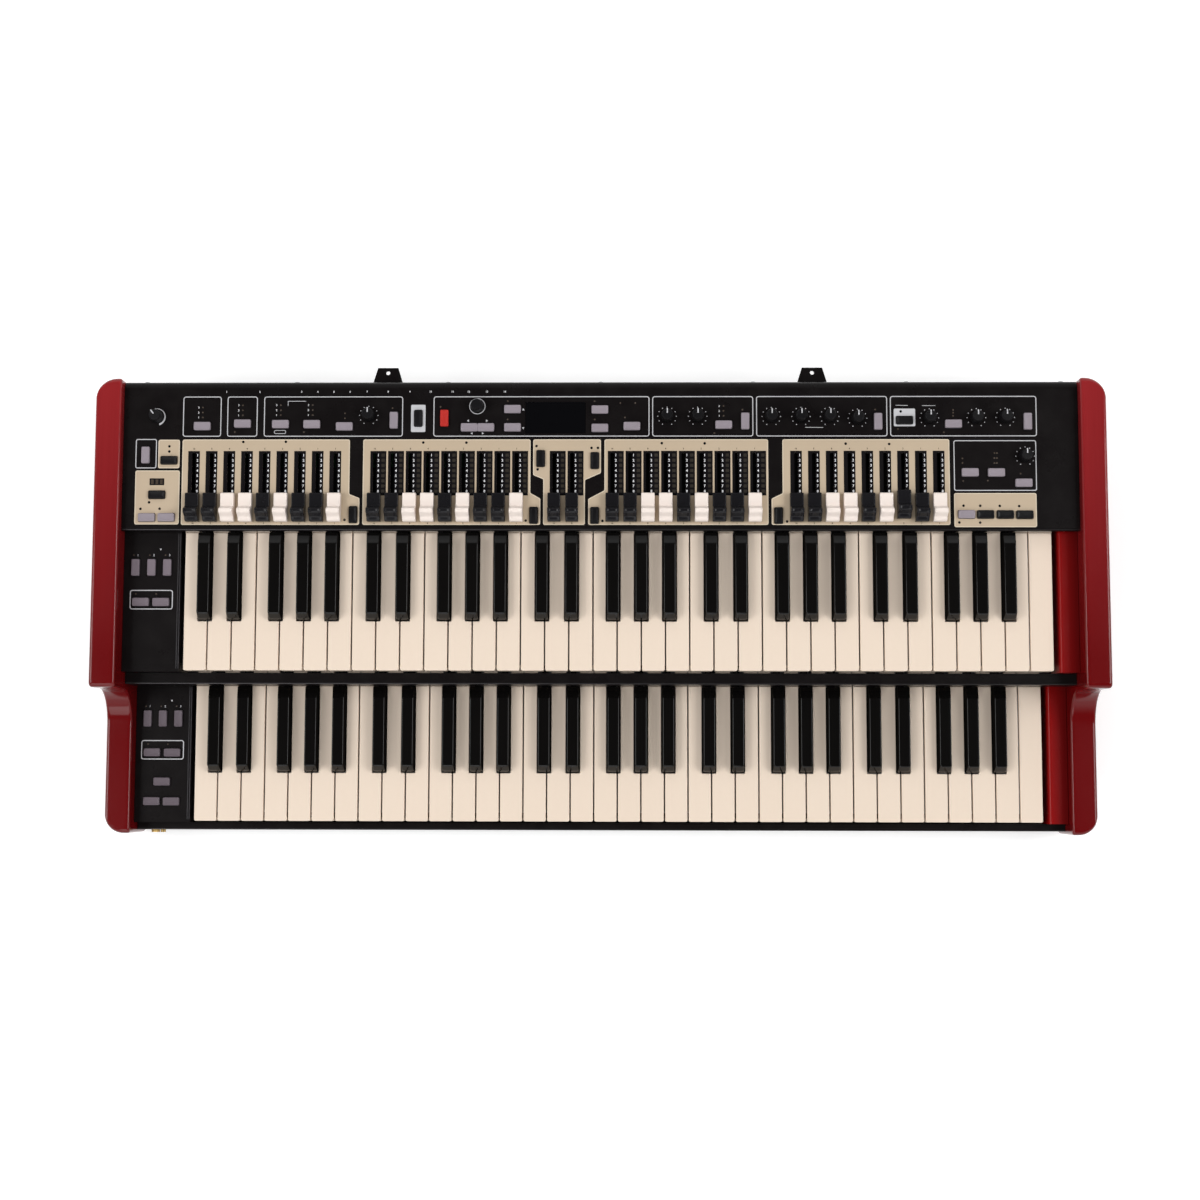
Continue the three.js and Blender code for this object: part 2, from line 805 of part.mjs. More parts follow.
function woodenBlock(front, rear, keyTop) {
  const top = keyTop + endBlock.rise;
  const base = keyTop - keyFrame.drop + seatGap;
  const edge = right - endBlock.rightWidth;
  const r = endBlock.edgeRadius;
  const section = new THREE.Shape();
  section.moveTo(edge, base);
  section.lineTo(shellRight, base);
  section.lineTo(shellRight, top);
  section.lineTo(edge + r, top);
  section.absarc(edge + r, top - r, r, Math.PI / 2, Math.PI, false);
  const body = new THREE.ExtrudeGeometry(section, {
    depth: rear - front,
    bevelEnabled: false,
    curveSegments: arcSteps,
  });
  return solid(body.rotateX(Math.PI / 2).translate(0, rear, 0));
}

// Knobs and their potentiometers
const knobShares = {
  master_level_knob: [0.035, 0.759],
  rotor_amount_knob: [0.258, 0.767],
  program_encoder: [0.372, 0.828],
  modulation_rate_knob: [0.571, 0.76],
  modulation_amount_knob: [0.603, 0.76],
  equaliser_bass_knob: [0.68, 0.758],
  equaliser_middle_knob: [0.711, 0.758],
  equaliser_frequency_knob: [0.741, 0.758],
  equaliser_treble_knob: [0.77, 0.746],
  delay_tempo_knob: [0.845, 0.748],
  delay_feedback_knob: [0.894, 0.749],
  delay_amount_knob: [0.924, 0.751],
  reverb_amount_knob: [0.944, 0.493],
};

function knobBody() {
  const base = panelTop + knob.panelGap;
  const top = panelTop + knob.height;
  const profile = [
    [0, panelUnder],
    [knob.bossRadius, panelUnder],
    [knob.bossRadius, base],
    [knob.radius, base],
    [knob.topRadius, top - knob.chamfer],
    [knob.topRadius - knob.chamfer, top],
    [0, top],
  ];
  const points = profile.map(([radius, z]) => new THREE.Vector2(radius, z));
  return new THREE.LatheGeometry(points, knobSides).rotateX(Math.PI / 2);
}

function panelCircuit() {
  const top = panelTop - panelBoardDrop;
  const [front, rear] = panelBoardShares.map((share) => panelFront + share * panel.depth);
  const plate = block([left + panelBoardInset, right - panelBoardInset], [front, rear], [top - board, top]);
  const pots = Object.values(knobShares).map(onPanel).flatMap(([x, y]) => {
    const body = block(about(x, pot.size), about(y, pot.size), [top - board, panelUnder - pot.headGap]);
    const onBoard = y - pot.size / 2 > front;
    const tab = block(about(x, pot.size), [y, front + pot.size], [top - board, top]);
    return onBoard ? [body] : [body, tab];
  });
  return joined([plate, ...pots]);
}

// Display window: a lens flush with the panel, on a rim behind the opening
const displayShares = [0.454, 0.751];
const displayMiddle = onPanel(displayShares);
function displayWindow() {
  const [x, y] = displayMiddle;
  const lens = [about(x, display.width), about(y, display.depth)];
  const rimTop = panelUnder - seatGap;
  return joined([
    block(...lens, [rimTop - display.rimThickness, panelTop + display.rise]),
    block(...lens.map((span) => grown(span, display.rim)), [rimTop - display.rimThickness, rimTop]),
  ]);
}

// Drawbars
const capRear = panelFront + drawbar.capRearReach;
const stemRear = capRear - drawbar.stemSetback;
const stemFront = stemRear - drawbar.stemLength;
const barX = (row, seat) => across(barRowShares[barRows.indexOf(row)] + seat * barPitchShare);

function drawbarCap(x, width) {
  const base = panelTop + drawbar.capGap;
  const points = capOutlineShares.map(([along, up]) => [
    capRear - along * drawbar.capLength,
    panelTop + up * drawbar.capHeight,
  ]);
  const side = outline([[capRear, base], ...points, [capRear - drawbar.capLength, base]]);
  return lengthways(side, ...about(x, width));
}

function drawbarStem(x, armDrop) {
  const top = panelTop + drawbar.capGap * 2;
  return block(about(x, drawbar.stemWidth), [stemFront, stemRear], [panelTop - armDrop, top]);
}

function singleBar(x, width = drawbar.capWidth) {
  const foot = panelTop - drawbar.singleArmDrop;
  return joined([
    drawbarCap(x, width),
    drawbarStem(x, drawbar.singleArmDrop),
    block(about(x, drawbar.stemWidth * 2), [stemFront, stemRear], [foot, foot + drawbar.stemWidth / 2]),
  ]);
}

// Bars of one colour in a row share a carriage: an arm under each bar and a tie across their rear ends.
function barCarriage(row, seats, armDrop) {
  const armBottom = panelTop - armDrop - drawbar.armHeight;
  const armSpan = [armBottom, armBottom + drawbar.armHeight];
  const tieFront = stemRear + drawbar.travel + drawbar.tieGap;
  const tieRear = tieFront + drawbar.tieDepth;
  const places = seats.map((seat) => barX(row, seat));
  const bars = places.flatMap((x) => [
    drawbarCap(x, drawbar.capWidth),
    drawbarStem(x, armDrop + drawbar.armHeight),
    block(about(x, drawbar.stemWidth), [stemFront, tieRear], armSpan),
  ]);
  const half = drawbar.stemWidth / 2;
  const tieSpan = [Math.min(...places) - half, Math.max(...places) + half];
  return joined([...bars, block(tieSpan, [tieFront, tieRear], armSpan)]);
}

function barSlot(x) {
  return block(
    grown(about(x, drawbar.stemWidth), seatGap),
    [stemFront - seatGap, stemRear + drawbar.travel + seatGap],
    [panelUnder - overrun, panelTop + overrun],
  );
}

// Top panel: one bent sheet with its slots and holes
function panelSide() {
  const { lipRadius: lip, rearRadius: bend } = panel;
  const lipBottom = panelTop - panel.lipDrop;
  const rearBottom = panelTop - panel.rearDrop;
  const side = new THREE.Shape();
  side.moveTo(panelFront, lipBottom);
  side.lineTo(panelFront + sheet, lipBottom);
  side.lineTo(panelFront + sheet, panelTop - lip);
  side.absarc(panelFront + lip, panelTop - lip, lip - sheet, Math.PI, Math.PI / 2, true);
  side.lineTo(panelRear - bend, panelUnder);
  side.absarc(panelRear - bend, panelTop - bend, bend - sheet, Math.PI / 2, 0, true);
  side.lineTo(panelRear - sheet, rearBottom);
  side.lineTo(panelRear, rearBottom);
  side.lineTo(panelRear, panelTop - bend);
  side.absarc(panelRear - bend, panelTop - bend, bend, 0, Math.PI / 2, false);
  side.lineTo(panelFront + lip, panelTop);
  side.absarc(panelFront + lip, panelTop - lip, lip, Math.PI / 2, Math.PI, false);
  return side;
}

function topPanel() {
  const through = [panelUnder - overrun, panelTop + overrun];
  const nine = [...whiteSeats, ...blackSeats];
  const rows = ["a", "b", "c", "d"].flatMap((row) => nine.map((seat) => barX(row, seat)));
  const bars = [...rows, barX("bass", 0), barX("bass", 1)];
  const [displayX, displayY] = displayMiddle;
  return cutBy(lengthways(panelSide(), shellLeft, shellRight), [
    ...bars.map(barSlot),
    ...buttonHoles([...greyPlaces, ...blackPlaces, storePlace], through),
    ...Object.values(knobShares).map(onPanel).map(([x, y]) =>
      uprightRod(x, y, knob.bossRadius + knob.holeGap, ...through, boreSides),
    ),
    block(
      grown(about(displayX, display.width), seatGap),
      grown(about(displayY, display.depth), seatGap),
      through,
    ),
  ]);
}

// Electronics inside the case
function mainCircuit() {
  const x0 = across(mainBoardShare);
  const rear = rearFace - socketStrip.depth - mainBoard.inset;
  const base = caseBottom + sheet + seatGap;
  const under = base + mainBoard.height;
  const spanX = [x0, x0 + mainBoard.width];
  const spanY = [rear - mainBoard.depth, rear];
  const plate = block(spanX, spanY, [under, under + board]);
  const posts = spanX.flatMap((x, i) =>
    spanY.map((y, j) => {
      const inward = (side) => (side ? -mainBoard.inset : mainBoard.inset);
      return block(
        about(x + inward(i), mainBoard.standoff),
        about(y + inward(j), mainBoard.standoff),
        [base, under + board],
      );
    }),
  );
  const chipShares = [[0.25, 0.35], [0.5, 0.6], [0.75, 0.35]];
  const chips = chipShares.map(([a, b]) =>
    block(
      about(x0 + a * mainBoard.width, mainBoard.chip),
      about(spanY[0] + b * mainBoard.depth, mainBoard.chip),
      [under, under + board + mainBoard.chipHeight],
    ),
  );
  return joined([plate, ...posts, ...chips]);
}

function powerUnit() {
  const rear = rearFace - inlet.depth - powerSupply.rearGap;
  const base = caseBottom + sheet + seatGap;
  const { width, depth: reach, height } = powerSupply;
  return block(about(inletX, width), [rear - reach, rear], [base, base + height]);
}

function headphoneSockets() {
  const tip = panFront + sheet - phonesBody.reach;
  const inside = panFront + sheet + seatGap;
  const bigX = phonesLeft;
  const smallX = phonesLeft + phones.spacing;
  const body = joined([
    block(
      [bigX - phones.bigRadius - phonesBody.margin, smallX + phones.smallRadius + phonesBody.margin],
      [inside, inside + phonesBody.depth],
      about(phonesHeight, 2 * (phones.bigRadius + phonesBody.margin)),
    ),
    rodAlongY(bigX, phonesHeight, phones.bigRadius, tip, inside + overrun, knobSides),
    rodAlongY(smallX, phonesHeight, phones.smallRadius, tip, inside + overrun, knobSides),
  ]);
  const through = [tip - overrun, inside + phonesBody.depth + overrun];
  return cutBy(body, [
    boreAlongY(bigX, phonesHeight, phones.bigBore, ...through),
    boreAlongY(smallX, phonesHeight, phones.smallBore, ...through),
  ]);
}

// Brackets on the rear panel
function standBracket(x) {
  const top = panelTop - bracketDrop;
  const face = rearFace + seatGap;
  const tip = face + bracket.reach;
  const tab = upright(
    outline([
      [x - bracket.baseWidth / 2, face],
      [x + bracket.baseWidth / 2, face],
      [x + bracket.tipWidth / 2, tip],
      [x - bracket.tipWidth / 2, tip],
    ]),
    top - bracket.thickness,
    top,
  );
  const flange = block(
    about(x, bracket.baseWidth),
    [face, face + bracketFlange],
    [top - bracket.flangeHeight, top],
  );
  const hole = uprightRod(
    x,
    tip - bracketHole.edge,
    bracketHole.radius,
    top - bracket.thickness - overrun,
    top + overrun,
    knobSides,
  );
  return joined([tab, flange]).subtract(hole);
}

function rubberFoot() {
  const height = foot.height - seatGap;
  const body = new THREE.CylinderGeometry(foot.radius, foot.tipRadius, height, footSides);
  return body.rotateX(Math.PI / 2).translate(0, 0, height / 2);
}

// The object
const organ = new THREE.Group();
organ.position.set(0, -depth / 2, 0);

function add(name, body, material) {
  const geometry = body.isBufferGeometry ? body : geometryOf(body);
  const mesh = new THREE.Mesh(geometry, material);
  mesh.name = name;
  organ.add(mesh);
  return mesh;
}

const upperSlipTop = upperTop - slip.topDrop;
const blockStart = seatGap - slip.keyGap;
const blockEnd = key.visibleLength + blockTuck;

add("bottom_pan", bottomPan(), finishes.blackMetal);
add("rear_panel", rearPanel(), finishes.blackMetal);
add("top_panel", topPanel(), finishes.blackMetal);
add("left_cheek", cheekBoard(left, left - cheek.thickness), finishes.lacquer);
add("right_cheek", cheekBoard(right, right + cheek.thickness), finishes.lacquer);
add(
  "upper_key_slip",
  keySlip(upperSlipFront, upperFront - slip.keyGap, upperSlipTop, upperSlipHeight),
  finishes.blackMetal,
);
add(
  "lower_key_slip",
  keySlip(lowerSlipFront, lowerFront - slip.keyGap, lowerSlipTop, lowerSlipHeight),
  finishes.blackMetal,
);
add("display_window", displayWindow(), finishes.glass);
add("panel_board", panelCircuit(), finishes.circuit);
add("main_board", mainCircuit(), finishes.circuit);
add("power_supply", powerUnit(), finishes.steel);
add("rear_socket_field", rearSocketField(), finishes.blackPlastic);
add("power_inlet", powerInlet(), finishes.blackPlastic);
add("headphone_sockets", headphoneSockets(), finishes.brass);
add("left_stand_bracket", standBracket(-bracket.spacing / 2), finishes.blackMetal);
add("right_stand_bracket", standBracket(bracket.spacing / 2), finishes.blackMetal);

const rockerMesh = add("power_switch", powerRocker(), finishes.blackPlastic);
rockerMesh.position.set(rockerX, rockerAxisY, socketMiddle);

for (const [name, front, keyTop, buttonShares, webShares] of [
  ["upper", upperFront, upperTop, upperBlockButtonShares, upperBlockWebShares],
  ["lower", lowerFront, lowerTop, lowerBlockButtonShares, lowerBlockWebShares],
]) {
  const from = front + blockStart;
  const to = front + blockEnd;
  const place = onBlock(front);
  const buttons = buttonShares.map(place);
  add(name + "_naturals", naturals(front, keyTop), finishes.ivory);
  add(name + "_sharps", sharps(front, keyTop), finishes.ebony);
  add(name + "_key_frame", keyFrameBed(front, keyTop), finishes.steel);
  add(name + "_control_block", controlBlock(from, to, keyTop, buttons), finishes.blackPlastic);
  add(name + "_wooden_block", woodenBlock(from, to, keyTop), finishes.lacquer);
  add(
    name + "_block_buttons",
    buttonGroup(buttons, placed(webShares, place), keyTop + endBlock.rise, blockWebDrop),
    finishes.grey,
  );
}

add(
  "grey_panel_buttons",
  buttonGroup(greyPlaces, placed(greyWebShares, onPanel), panelTop, greyWebDrop),
  finishes.grey,
);
add(
  "black_panel_buttons",
  buttonGroup(blackPlaces, placed(blackWebShares, onPanel), panelTop, blackWebDrop),
  finishes.blackPlastic,
);
add("store_button", storeButton(), finishes.red);

for (const row of ["a", "b", "c", "d"]) {
  const black = blackSeats.filter((seat) => row !== "d" || seat !== straySeat);
  add("drawbars_" + row + "_white", barCarriage(row, whiteSeats, drawbar.whiteArmDrop), finishes.white);
  add("drawbars_" + row + "_black", barCarriage(row, black, drawbar.blackArmDrop), finishes.blackPlastic);
}
add("drawbar_d7", singleBar(barX("d", straySeat)), finishes.blackPlastic).position.set(0, strayShift, 0);
for (const seat of [0, 1]) {
  add("bass_drawbar_" + (seat + 1), singleBar(barX("bass", seat), bassCapWidth), finishes.blackPlastic);
}

for (const [name, place] of Object.entries(knobShares)) {
  const [x, y] = onPanel(place);
  add(name, knobBody(), finishes.blackPlastic).position.set(x, y, 0);
}

const footX = right + cheek.thickness - foot.sideInset;
const footY = { front: foot.frontInset, rear: cheekRear - foot.rearInset };
for (const [end, y] of Object.entries(footY)) {
  add(end + "_left_foot", rubberFoot(), finishes.rubber).position.set(-footX, y, 0);
  add(end + "_right_foot", rubberFoot(), finishes.rubber).position.set(footX, y, 0);
}

export default organ;
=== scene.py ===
"""Looks of a drawbar organ with two manuals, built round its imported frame.

Shapes are written in millimetres in the frame's own axes: X to the player's right,
Y to the rear, Z up from the feet. They become metres when a mesh is made.
"""

import logging
import math
from dataclasses import dataclass, field
from enum import Enum
from typing import Iterable, Optional, Sequence

import bmesh
import bpy
from mathutils import Matrix, Vector
from mathutils.geometry import delaunay_2d_cdt


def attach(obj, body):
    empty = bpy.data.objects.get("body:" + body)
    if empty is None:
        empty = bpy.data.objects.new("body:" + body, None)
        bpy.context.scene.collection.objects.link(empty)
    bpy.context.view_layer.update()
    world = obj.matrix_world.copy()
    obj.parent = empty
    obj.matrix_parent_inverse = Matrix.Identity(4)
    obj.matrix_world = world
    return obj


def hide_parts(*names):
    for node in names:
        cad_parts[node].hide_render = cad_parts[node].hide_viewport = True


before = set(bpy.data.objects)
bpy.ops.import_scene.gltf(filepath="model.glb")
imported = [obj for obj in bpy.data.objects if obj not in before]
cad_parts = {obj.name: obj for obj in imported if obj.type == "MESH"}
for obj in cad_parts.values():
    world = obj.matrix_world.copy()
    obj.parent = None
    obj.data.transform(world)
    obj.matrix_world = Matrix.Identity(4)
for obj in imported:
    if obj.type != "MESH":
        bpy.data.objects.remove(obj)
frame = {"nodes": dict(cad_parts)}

log = logging.getLogger("organ")

MM = 0.001
FLOAT_SOCKET = "NodeSocketFloat"
Flat = tuple[float, float]
Point = tuple[float, float, float]
Colour = tuple[float, float, float]
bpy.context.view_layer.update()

PANEL_TOP = 139.0
FIELD_LEFT = -405.5
KEY_PITCH = 23.5
NATURALS = 36
OCTAVES = 5


@dataclass(frozen=True)
class Tier:
    """Where one manual stands.

    Attributes:
        name: the word that names its frame nodes.
        front: the front of its naturals along Y.
        keys: the top of its naturals.
        block: the top of its control block.
    """

    name: str
    front: float
    keys: float
    block: float


LOWER = Tier("lower", -217.5, 61.0, 63.0)
UPPER = Tier("upper", -70.8, 123.0, 125.0)


# Shader trees


class Tree:
    """Puts nodes into a shader tree and joins them."""

    def __init__(self, tree: bpy.types.NodeTree) -> None:
        """Starts on a tree.

        Args:
            tree: the node tree to fill.
        """
        self.tree = tree

    def node(self, kind: str, **settings: object) -> bpy.types.Node:
        """Adds a node.

        Args:
            kind: Blender's type name of the node.
            settings: properties of the node to set.

        Returns:
            The new node.
        """
        made = self.tree.nodes.new(kind)
        for name, value in settings.items():
            setattr(made, name, value)
        return made

    def join(self, source: bpy.types.NodeSocket, target: bpy.types.NodeSocket) -> None:
        """Links two sockets."""
        self.tree.links.new(source, target)

    def give(self, target: bpy.types.NodeSocket, value: object) -> None:
        """Links a socket to an input, or sets the input to a plain value.

        Args:
            target: the input.
            value: a socket, a number or a colour with its alpha.
        """
        if isinstance(value, bpy.types.NodeSocket):
            self.join(value, target)
        else:
            target.default_value = value

    def place(self) -> bpy.types.NodeSocket:
        """Gives the place on the object, in metres."""
        return self.node("ShaderNodeTexCoord").outputs["Object"]

    def along(self, vector: bpy.types.NodeSocket, axis: str) -> bpy.types.NodeSocket:
        """Gives one axis of a vector.

        Args:
            vector: the vector.
            axis: X, Y or Z.

        Returns:
            The socket with that part.
        """
        made = self.node("ShaderNodeSeparateXYZ")
        self.join(vector, made.inputs["Vector"])
        return made.outputs[axis]

    def noise(self, vector: bpy.types.NodeSocket, scale: object, detail: float = 3.0) -> bpy.types.Node:
        """Adds a noise texture.

        Args:
            vector: where it is read.
            scale: cells to the metre, a number or a socket.
            detail: octaves of finer noise.

        Returns:
            The texture node.
        """
        made = self.node("ShaderNodeTexNoise")
        self.give(made.inputs["Scale"], scale)
        made.inputs["Detail"].default_value = detail
        self.join(vector, made.inputs["Vector"])
        return made

    def spread(
        self,
        value: bpy.types.NodeSocket,
        low: object,
        high: object,
        start: float = 0.3,
        end: float = 0.7,
    ) -> bpy.types.NodeSocket:
        """Maps a value from one range to another.

        Args:
            value: the socket that varies.
            low: result at the start, a number or a socket.
            high: result at the end, a number or a socket.
            start: where the range starts.
            end: where the range ends.

        Returns:
            The socket with the result.
        """
        made = self.node("ShaderNodeMapRange")
        for name, given in (("From Min", start), ("From Max", end), ("To Min", low), ("To Max", high)):
            self.give(made.inputs[name], given)
        self.join(value, made.inputs["Value"])
        return made.outputs["Result"]

    def math(self, operation: str, *values: object, clamp: bool = False) -> bpy.types.NodeSocket:
        """Adds a sum.

        Args:
            operation: Blender's name of the operation.
            values: its inputs in order, each a number or a socket.
            clamp: whether the result is kept from 0 to 1.

        Returns:
            The socket with the result.
        """
        made = self.node("ShaderNodeMath", operation=operation, use_clamp=clamp)
        for target, value in zip(made.inputs, values):
            self.give(target, value)
        return made.outputs[0]

    def blend(self, share: bpy.types.NodeSocket, first: object, second: object) -> bpy.types.NodeSocket:
        """Mixes two colours.

        Args:
            share: how much of the second, a socket that varies.
            first: a colour or a socket.
            second: a colour or a socket.

        Returns:
            The socket with the mixed colour.
        """
        made = self.node("ShaderNodeMix", data_type="RGBA")
        self.join(share, made.inputs["Factor"])
        colours = [socket for socket in made.inputs if socket.type == "RGBA"]
        for target, value in zip(colours, (first, second)):
            self.give(target, value if isinstance(value, bpy.types.NodeSocket) else (*value, 1.0))
        return next(socket for socket in made.outputs if socket.type == "RGBA")


class Effect(Enum):
    """The shared effects, one node group each."""

    SPECKLE = "fine speckle"
    GRAIN = "stretched grain"
    HANDLING = "handling marks"
    DUST = "settled dust"


class Effects:
    """Builds each shared node group once and places it where it is used."""

    def __init__(self) -> None:
        """Starts with no group built."""
        self.built: dict[Effect, bpy.types.NodeTree] = {}

    def place(self, tree: Tree, effect: Effect, **values: float) -> bpy.types.Node:
        """Puts a group into a material's tree, and builds the group the first time.

        Args:
            tree: the material's tree.
            effect: which effect.
            values: the group's inputs by name.

        Returns:
            The group node.
        """
        if effect not in self.built:
            builders = {
                Effect.SPECKLE: self.speckle,
                Effect.GRAIN: self.grain,
                Effect.HANDLING: self.handling,
                Effect.DUST: self.dust,
            }
            self.built[effect] = builders[effect]()
        made = tree.node("ShaderNodeGroup", node_tree=self.built[effect])
        for name, value in values.items():
            made.inputs[name].default_value = value
        return made

    def start(
        self, effect: Effect, inputs: dict[str, float], outputs: Sequence[str]
    ) -> tuple[Tree, bpy.types.Node, bpy.types.Node]:
        """Makes an empty group with its sockets.

        Args:
            effect: the effect that it is for.
            inputs: the name and the default of each input.
            outputs: the name of each output.

        Returns:
            The tree, its input node and its output node.
        """
        tree = bpy.data.node_groups.new(effect.value, "ShaderNodeTree")
        for label, value in inputs.items():
            socket = tree.interface.new_socket(name=label, in_out="INPUT", socket_type=FLOAT_SOCKET)
            socket.default_value = value
        for label in outputs:
            tree.interface.new_socket(name=label, in_out="OUTPUT", socket_type=FLOAT_SOCKET)
        nodes = Tree(tree)
        return nodes, nodes.node("NodeGroupInput"), nodes.node("NodeGroupOutput")

    def speckle(self) -> bpy.types.NodeTree:
        """Fine moulded texture.

        Returns:
            A group that gives a mask and a height.
        """
        inputs = {"Scale": 900.0, "Contrast": 1.0}
        tree, given, result = self.start(Effect.SPECKLE, inputs, ("Mask", "Height"))
        where = tree.place()
        fine = tree.noise(where, given.outputs["Scale"]).outputs["Fac"]
        broad = tree.noise(where, scale=14.0, detail=2.0).outputs["Fac"]
        both = tree.math("MULTIPLY_ADD", fine, 0.6, tree.spread(broad, low=0.0, high=0.4))
        mask = tree.math("POWER", both, given.outputs["Contrast"], clamp=True)
        tree.join(mask, result.inputs["Mask"])
        tree.join(fine, result.inputs["Height"])
        return tree.tree

    def grain(self) -> bpy.types.NodeTree:
        """Long streaks along Y, or turned about Z.

        Returns:
            A group that gives a mask and a height.
        """
        inputs = {"Across": 500.0, "Along": 12.0, "Turned": 0.0}
        tree, given, result = self.start(Effect.GRAIN, inputs, ("Mask", "Height"))
        turn = tree.node("ShaderNodeVectorRotate", rotation_type="Z_AXIS")
        tree.join(tree.place(), turn.inputs["Vector"])
        tree.join(given.outputs["Turned"], turn.inputs["Angle"])
        cells = tree.node("ShaderNodeCombineXYZ")
        for axis, name in (("X", "Across"), ("Y", "Along"), ("Z", "Across")):
            tree.join(given.outputs[name], cells.inputs[axis])
        stretch = tree.node("ShaderNodeVectorMath", operation="MULTIPLY")
        tree.join(turn.outputs["Vector"], stretch.inputs[0])
        tree.join(cells.outputs["Vector"], stretch.inputs[1])
        streaks = tree.noise(stretch.outputs["Vector"], scale=1.0, detail=5.0)
        streaks.inputs["Distortion"].default_value = 0.4
        bands = tree.noise(stretch.outputs["Vector"], scale=0.16, detail=2.0).outputs["Fac"]
        share = tree.spread(bands, low=-0.05, high=0.4)
        mask = tree.math("MULTIPLY_ADD", streaks.outputs["Fac"], 0.65, share, clamp=True)
        tree.join(mask, result.inputs["Mask"])
        tree.join(streaks.outputs["Fac"], result.inputs["Height"])
        return tree.tree

    def handling(self) -> bpy.types.NodeTree:
        """Uneven gloss from hands and cloths.

        Returns:
            A group that gives a roughness.
        """
        inputs = {"Smooth": 0.3, "Rough": 0.5}
        tree, given, result = self.start(Effect.HANDLING, inputs, ("Roughness",))
        where = tree.place()
        broad = tree.noise(where, scale=22.0, detail=4.0).outputs["Fac"]
        fine = tree.noise(where, scale=400.0, detail=2.0).outputs["Fac"]
        both = tree.math("MULTIPLY_ADD", fine, 0.25, tree.spread(broad, low=0.0, high=0.75))
        ends = tree.spread(both, given.outputs["Smooth"], given.outputs["Rough"], start=0.0, end=1.0)
        tree.join(ends, result.inputs["Roughness"])
        return tree.tree

    def dust(self) -> bpy.types.NodeTree:
        """Thin dust on what faces up.

        Returns:
            A group that gives a mask.
        """
        tree, given, result = self.start(Effect.DUST, {"Amount": 0.05}, ("Mask",))
        normal = tree.node("ShaderNodeNewGeometry").outputs["Normal"]
        upward = tree.spread(tree.along(normal, "Z"), low=0.0, high=1.0, start=0.5, end=1.0)
        clouds = tree.noise(tree.place(), scale=60.0, detail=6.0).outputs["Fac"]
        patches = tree.spread(clouds, low=0.0, high=1.0, start=0.42, end=0.75)
        shared = tree.math("MULTIPLY", upward, patches)
        mask = tree.math("MULTIPLY", shared, given.outputs["Amount"], clamp=True)
        tree.join(mask, result.inputs["Mask"])
        return tree.tree


EFFECTS = Effects()
DUST_COLOUR: Colour = (0.45, 0.43, 0.40)
COAT_ROUGHNESS = 0.12
BUMP_STRENGTH = 0.5
STREAK_SHARE = 0.02


class Texture(Enum):
    """What the surface of a finish is like close up."""

    MOULDED = "moulded"
    TIMBER = "timber"
    ROLLED = "rolled"


@dataclass(frozen=True)
class Finish:
    """A finish: its colours, its gloss and its texture.

    Attributes:
        name: the material's name.
        colour: linear colour.
        tone: the second colour, which the texture brings in.
        smooth: lowest roughness.
        rough: highest roughness.
        texture: what it is like close up.
        scale: cells of texture to the metre.
        depth: height of the texture, in metres.
        metallic: 1 for bare metal.
        specular: specular level.
        coat: weight of clear lacquer.
        dust: how much dust shows.
        slot: the name of the slot that it belongs to; not used.
    """

    name: str
    colour: Colour
    tone: Colour
    smooth: float
    rough: float
    texture: Texture = Texture.MOULDED
    scale: float = 900.0
    depth: float = 0.00001
    metallic: float = 0.0
    specular: float = 0.5
    coat: float = 0.0
    dust: float = 0.0
    slot: str = "case_steel"

    def material(self) -> bpy.types.Material:
        """Gives the finish's material, and makes it the first time.

        Returns:
            The material.
        """
        label = f"{self.name}_finish"
        known = bpy.data.materials.get(label)
        if known is not None:
            return known
        made = bpy.data.materials.new(label)
        made.use_nodes = True
        made.diffuse_color = (*self.colour, 1.0)
        tree = Tree(made.node_tree)
        shader = made.node_tree.nodes["Principled BSDF"]
        texture = self.texture_node(tree)
        colour = tree.blend(texture.outputs["Mask"], self.colour, self.tone)
        if self.dust:
            dust = EFFECTS.place(tree, Effect.DUST, Amount=self.dust)
            colour = tree.blend(dust.outputs["Mask"], colour, DUST_COLOUR)
        tree.join(self.shaded(tree, colour), shader.inputs["Base Color"])
        marks = EFFECTS.place(tree, Effect.HANDLING, Smooth=self.smooth, Rough=self.rough)
        tree.join(marks.outputs["Roughness"], shader.inputs["Roughness"])
        bump = tree.node("ShaderNodeBump")
        bump.inputs["Distance"].default_value = self.depth
        bump.inputs["Strength"].default_value = BUMP_STRENGTH
        tree.join(texture.outputs["Height"], bump.inputs["Height"])
        tree.join(bump.outputs["Normal"], shader.inputs["Normal"])
        shader.inputs["Metallic"].default_value = self.metallic
        shader.inputs["Specular IOR Level"].default_value = self.specular
        shader.inputs["Coat Weight"].default_value = self.coat
        shader.inputs["Coat Roughness"].default_value = COAT_ROUGHNESS
        return made

    def texture_node(self, tree: Tree) -> bpy.types.Node:
        """Places the shared group that makes the texture.

        Args:
            tree: the material's tree.

        Returns:
            The group node.
        """
        if self.texture is Texture.MOULDED:
            return EFFECTS.place(tree, Effect.SPECKLE, Scale=self.scale)
        turned = math.pi / 2 if self.texture is Texture.ROLLED else 0.0
        along = self.scale * STREAK_SHARE
        return EFFECTS.place(tree, Effect.GRAIN, Across=self.scale, Along=along, Turned=turned)

    def shaded(self, tree: Tree, colour: bpy.types.NodeSocket) -> bpy.types.NodeSocket:
        """Leaves the colour as it is. A finish that differs along the part changes it."""
        return colour


